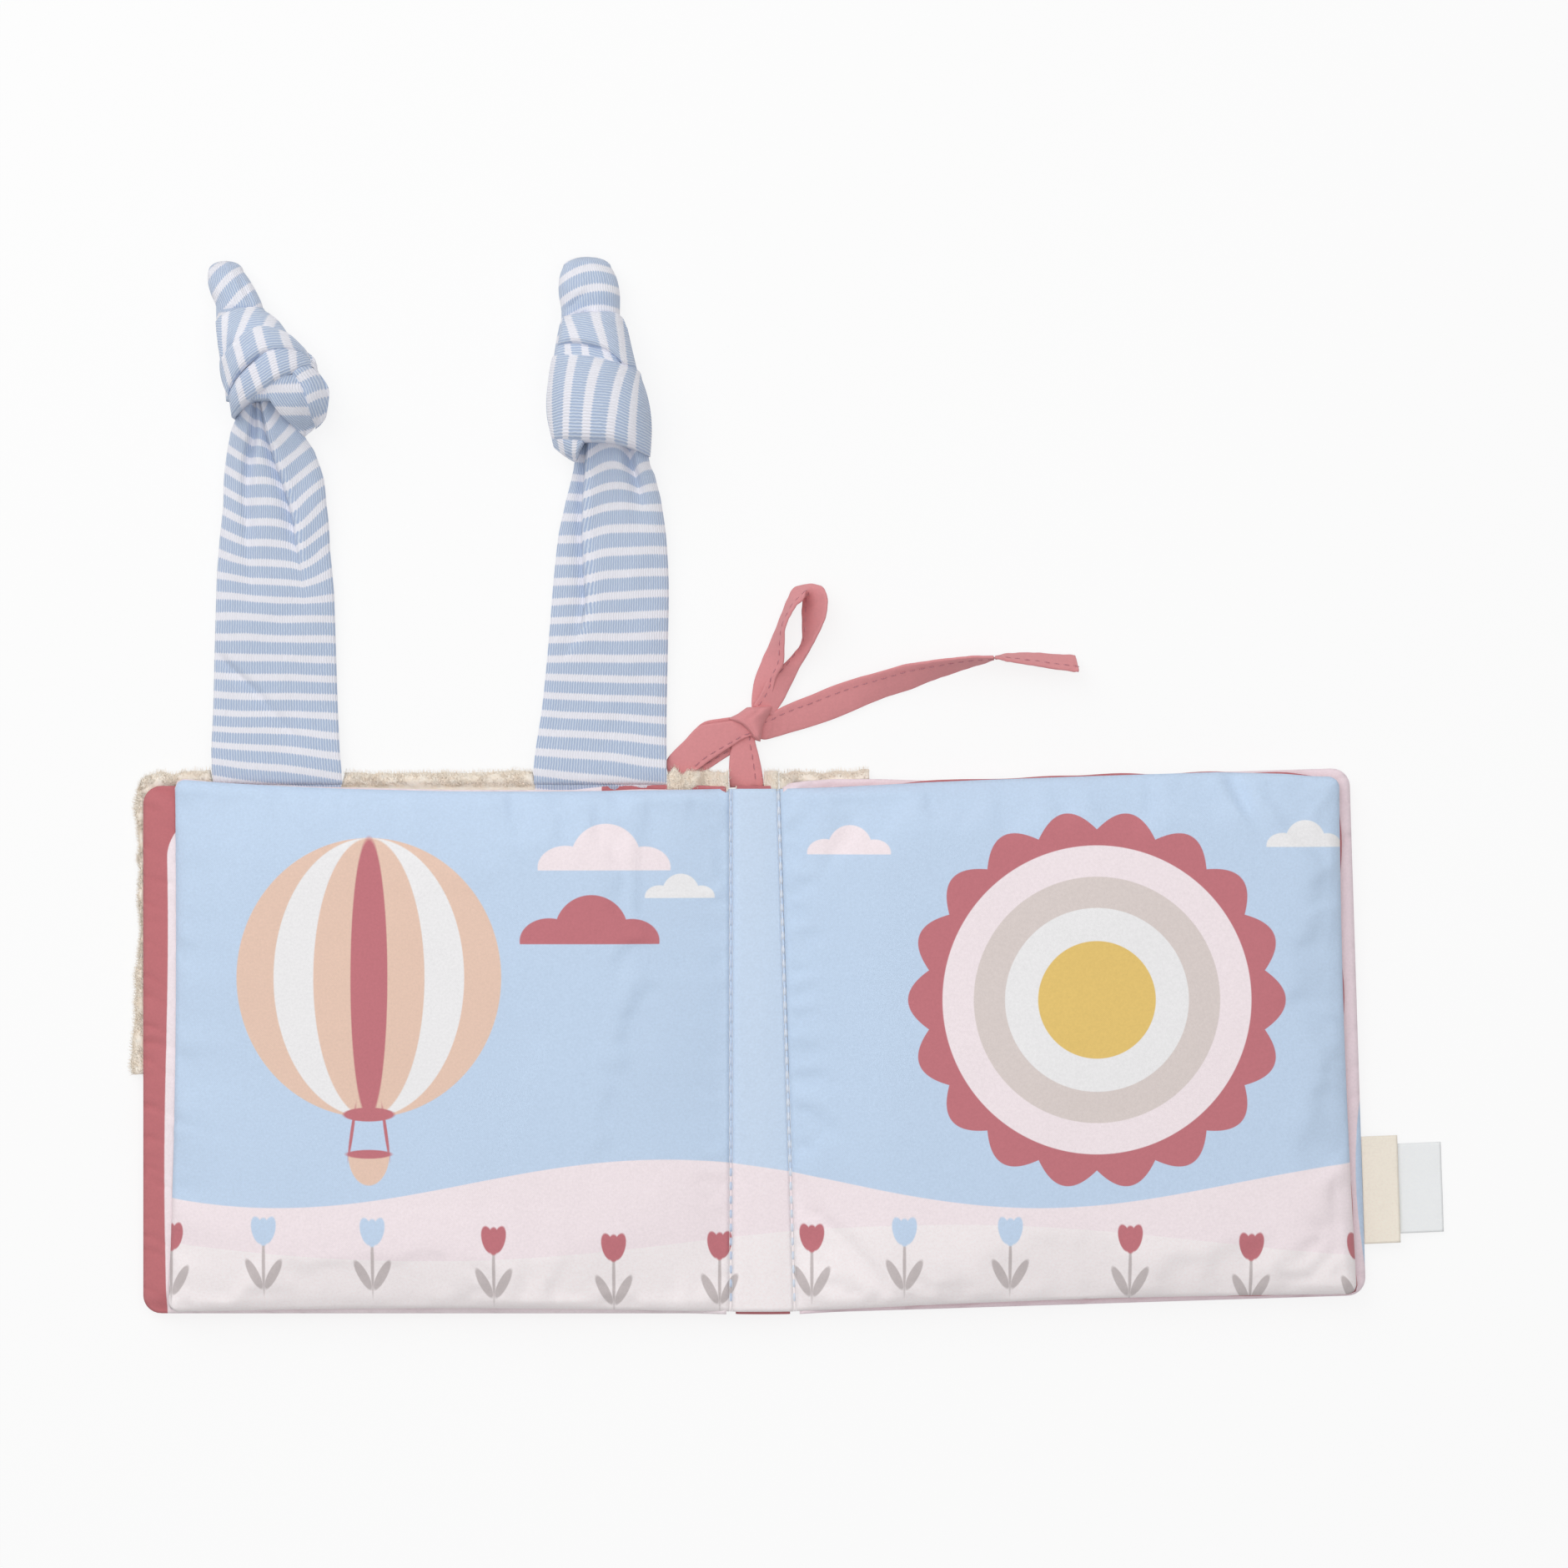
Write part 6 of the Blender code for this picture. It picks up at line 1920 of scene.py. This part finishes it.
# %% Tie knot
TIE_KNOT_ROWS = (
    (0, (-3.3, 93.7), (0.2, 93.9), (3.8, 94.1)),
    (1, (-5.7, 92.0), (-1.2, 92.2), (3.4, 92.5)),
    (2, (-8.1, 90.5), (-3.0, 90.4), (2.1, 90.3)),
    (3, (-5.1, 89.0), (-2.0, 88.5), (1.1, 88.1)),
    (4, (-2.7, 87.0), (-1.0, 86.6), (0.8, 86.2)),
    (5, (-1.0, 84.7), (-0.3, 84.5), (0.4, 84.3)),
)
KNOT_RIM = 2.6 * MM
KNOT_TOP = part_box("tie_knot")[1][2]
top, bottom = [], []
fine = in_plan(TIE_KNOT_ROWS, 6)
for index, (step, ax, ay, mx, my, bx, by) in enumerate(fine):
    end_roll = roll_in(min(index, len(fine) - 1 - index) / 5)
    upper, lower = [], []
    for k in range(23):
        t = 0.5 - 0.5 * math.cos(math.pi * k / 22)
        x, y = ax + (bx - ax) * t, ay + (by - ay) * t
        round_off = math.sqrt(max(0.0, 1 - abs(2 * t - 1) ** 2.6)) * (0.35 + 0.65 * end_roll)
        crease = 0.35 * MM * math.exp(-((t - 0.62 + 0.05 * step) / 0.06) ** 2)
        soft = 0.3 * MM * noise.noise(Vector((x, y, 0)) / (2.5 * MM))
        z = KNOT_RIM + (KNOT_TOP - KNOT_RIM) * round_off - (crease - soft) * round_off
        upper.append(Vector((x, y, z)))
        lower.append(Vector((x, y, max(0.1 * MM, 2.4 * MM * (1 - round_off)))))
    top.append(upper)
    bottom.append(lower)
add_piece("tie_knot_cloth", shell_mesh("knot", top, bottom), tape_cotton, "tie",
          ["tie_knot"])

# %% [markdown]
# Two bare tags are sewn into the back cover's side: a cream cotton one over a white satin
# one. Each is a thin sheet that bends down a little towards the floor, with a cut edge.

# %% Tags
cream_cloth = plain_cotton("cream tag cotton", srgb(255, 246, 231))
satin, g, shader, place = cloth("white tag satin", 0.42, 0.1)
dye(g, shader, place, srgb(252, 254, 255), 0.06, 4200.0, 0.15)


def make_tag(name, node, material, thickness, bend):
    points = [RIGHT.read(v.co) for v in frame["nodes"][node].data.vertices]
    heights = [v.co.z for v in frame["nodes"][node].data.vertices]
    start, end = BACK_WIDTH + 0.05 * MM, max(u for u, v in points)
    low, high = min(v for u, v in points), max(v for u, v in points)
    top = []
    for u in steps(start, end, 0.7 * MM):
        share = (u - start) / (end - start)
        row = []
        for v in steps(low, high, 0.7 * MM):
            level = max(heights) + (min(heights) + thickness - max(heights)) * share
            curl_up = bend * MM * share ** 3 * math.cos(math.pi * (v - low) / (high - low))
            ripple = 0.15 * MM * share * noise.noise(Vector((u, v, 0)) / (7 * MM))
            row.append(RIGHT.place(u, v, max(level + curl_up + ripple, thickness + 0.1 * MM)))
        top.append(row)
    tag = add_piece(name, shell_mesh("tag", top, lowered(top, thickness)), material, "tags",
                    [node])


make_tag("white_side_tag", "white_tag", satin, 0.3 * MM, 0.25)
make_tag("cream_side_tag", "cream_tag", cream_cloth, 0.45 * MM, 0.15)

# %% [markdown]
# Wadding inside the covers and the spine, and the crinkle film in the pages, can't be seen
# when the book is whole. They stay as the frame's own solids and only get their material.

# %% Hidden filling
film, g, shader, place = cloth("crinkle film", 0.25, 0.0)
shader.inputs["Base Color"].default_value = srgb(236, 240, 245)
crinkle = g.node("ShaderNodeTexVoronoi", {"Vector": place, "Scale": 130.0})
bump(g, shader, crinkle.outputs["Distance"], 0.6, 0.4 * MM)
for node, material in (("front_cover_wadding", wadding_cloth), ("back_cover_wadding", wadding_cloth),
                       ("spine_wadding", wadding_cloth), ("left_leaf_crinkle_film", film),
                       ("right_leaf_crinkle_film", film)):
    solid = frame["nodes"][node]
    solid.data.materials.clear()
    solid.data.materials.append(material)

# %% [markdown]
# The floor is a plain pale sheet. It is part of the stage, not of the book.

# %% Floor
FLOOR_GLOW = 0.82
bpy.ops.mesh.primitive_plane_add(size=4, location=(0, 0, -0.1 * MM))
floor = bpy.context.active_object
floor.name = "floor"
floor_paint = bpy.data.materials.new("floor paint")
floor_paint.use_nodes = True
g = Graph(floor_paint.node_tree)
matte = floor_paint.node_tree.nodes["Principled BSDF"]
matte.inputs["Base Color"].default_value = (0.92, 0.92, 0.92, 1)
matte.inputs["Roughness"].default_value = 0.9
seen = g.node("ShaderNodeLightPath")
glow = g.node("ShaderNodeEmission", {"Color": (1, 1, 1, 1), "Strength": 1.0})
share = g.times(seen.outputs["Is Camera Ray"], FLOOR_GLOW)
both = g.node("ShaderNodeMixShader", {0: share})
g.feed(both.inputs[1], matte.outputs["BSDF"])
g.feed(both.inputs[2], glow.outputs["Emission"])
g.feed(floor_paint.node_tree.nodes["Material Output"].inputs["Surface"], both.outputs["Shader"])
floor.data.materials.append(floor_paint)
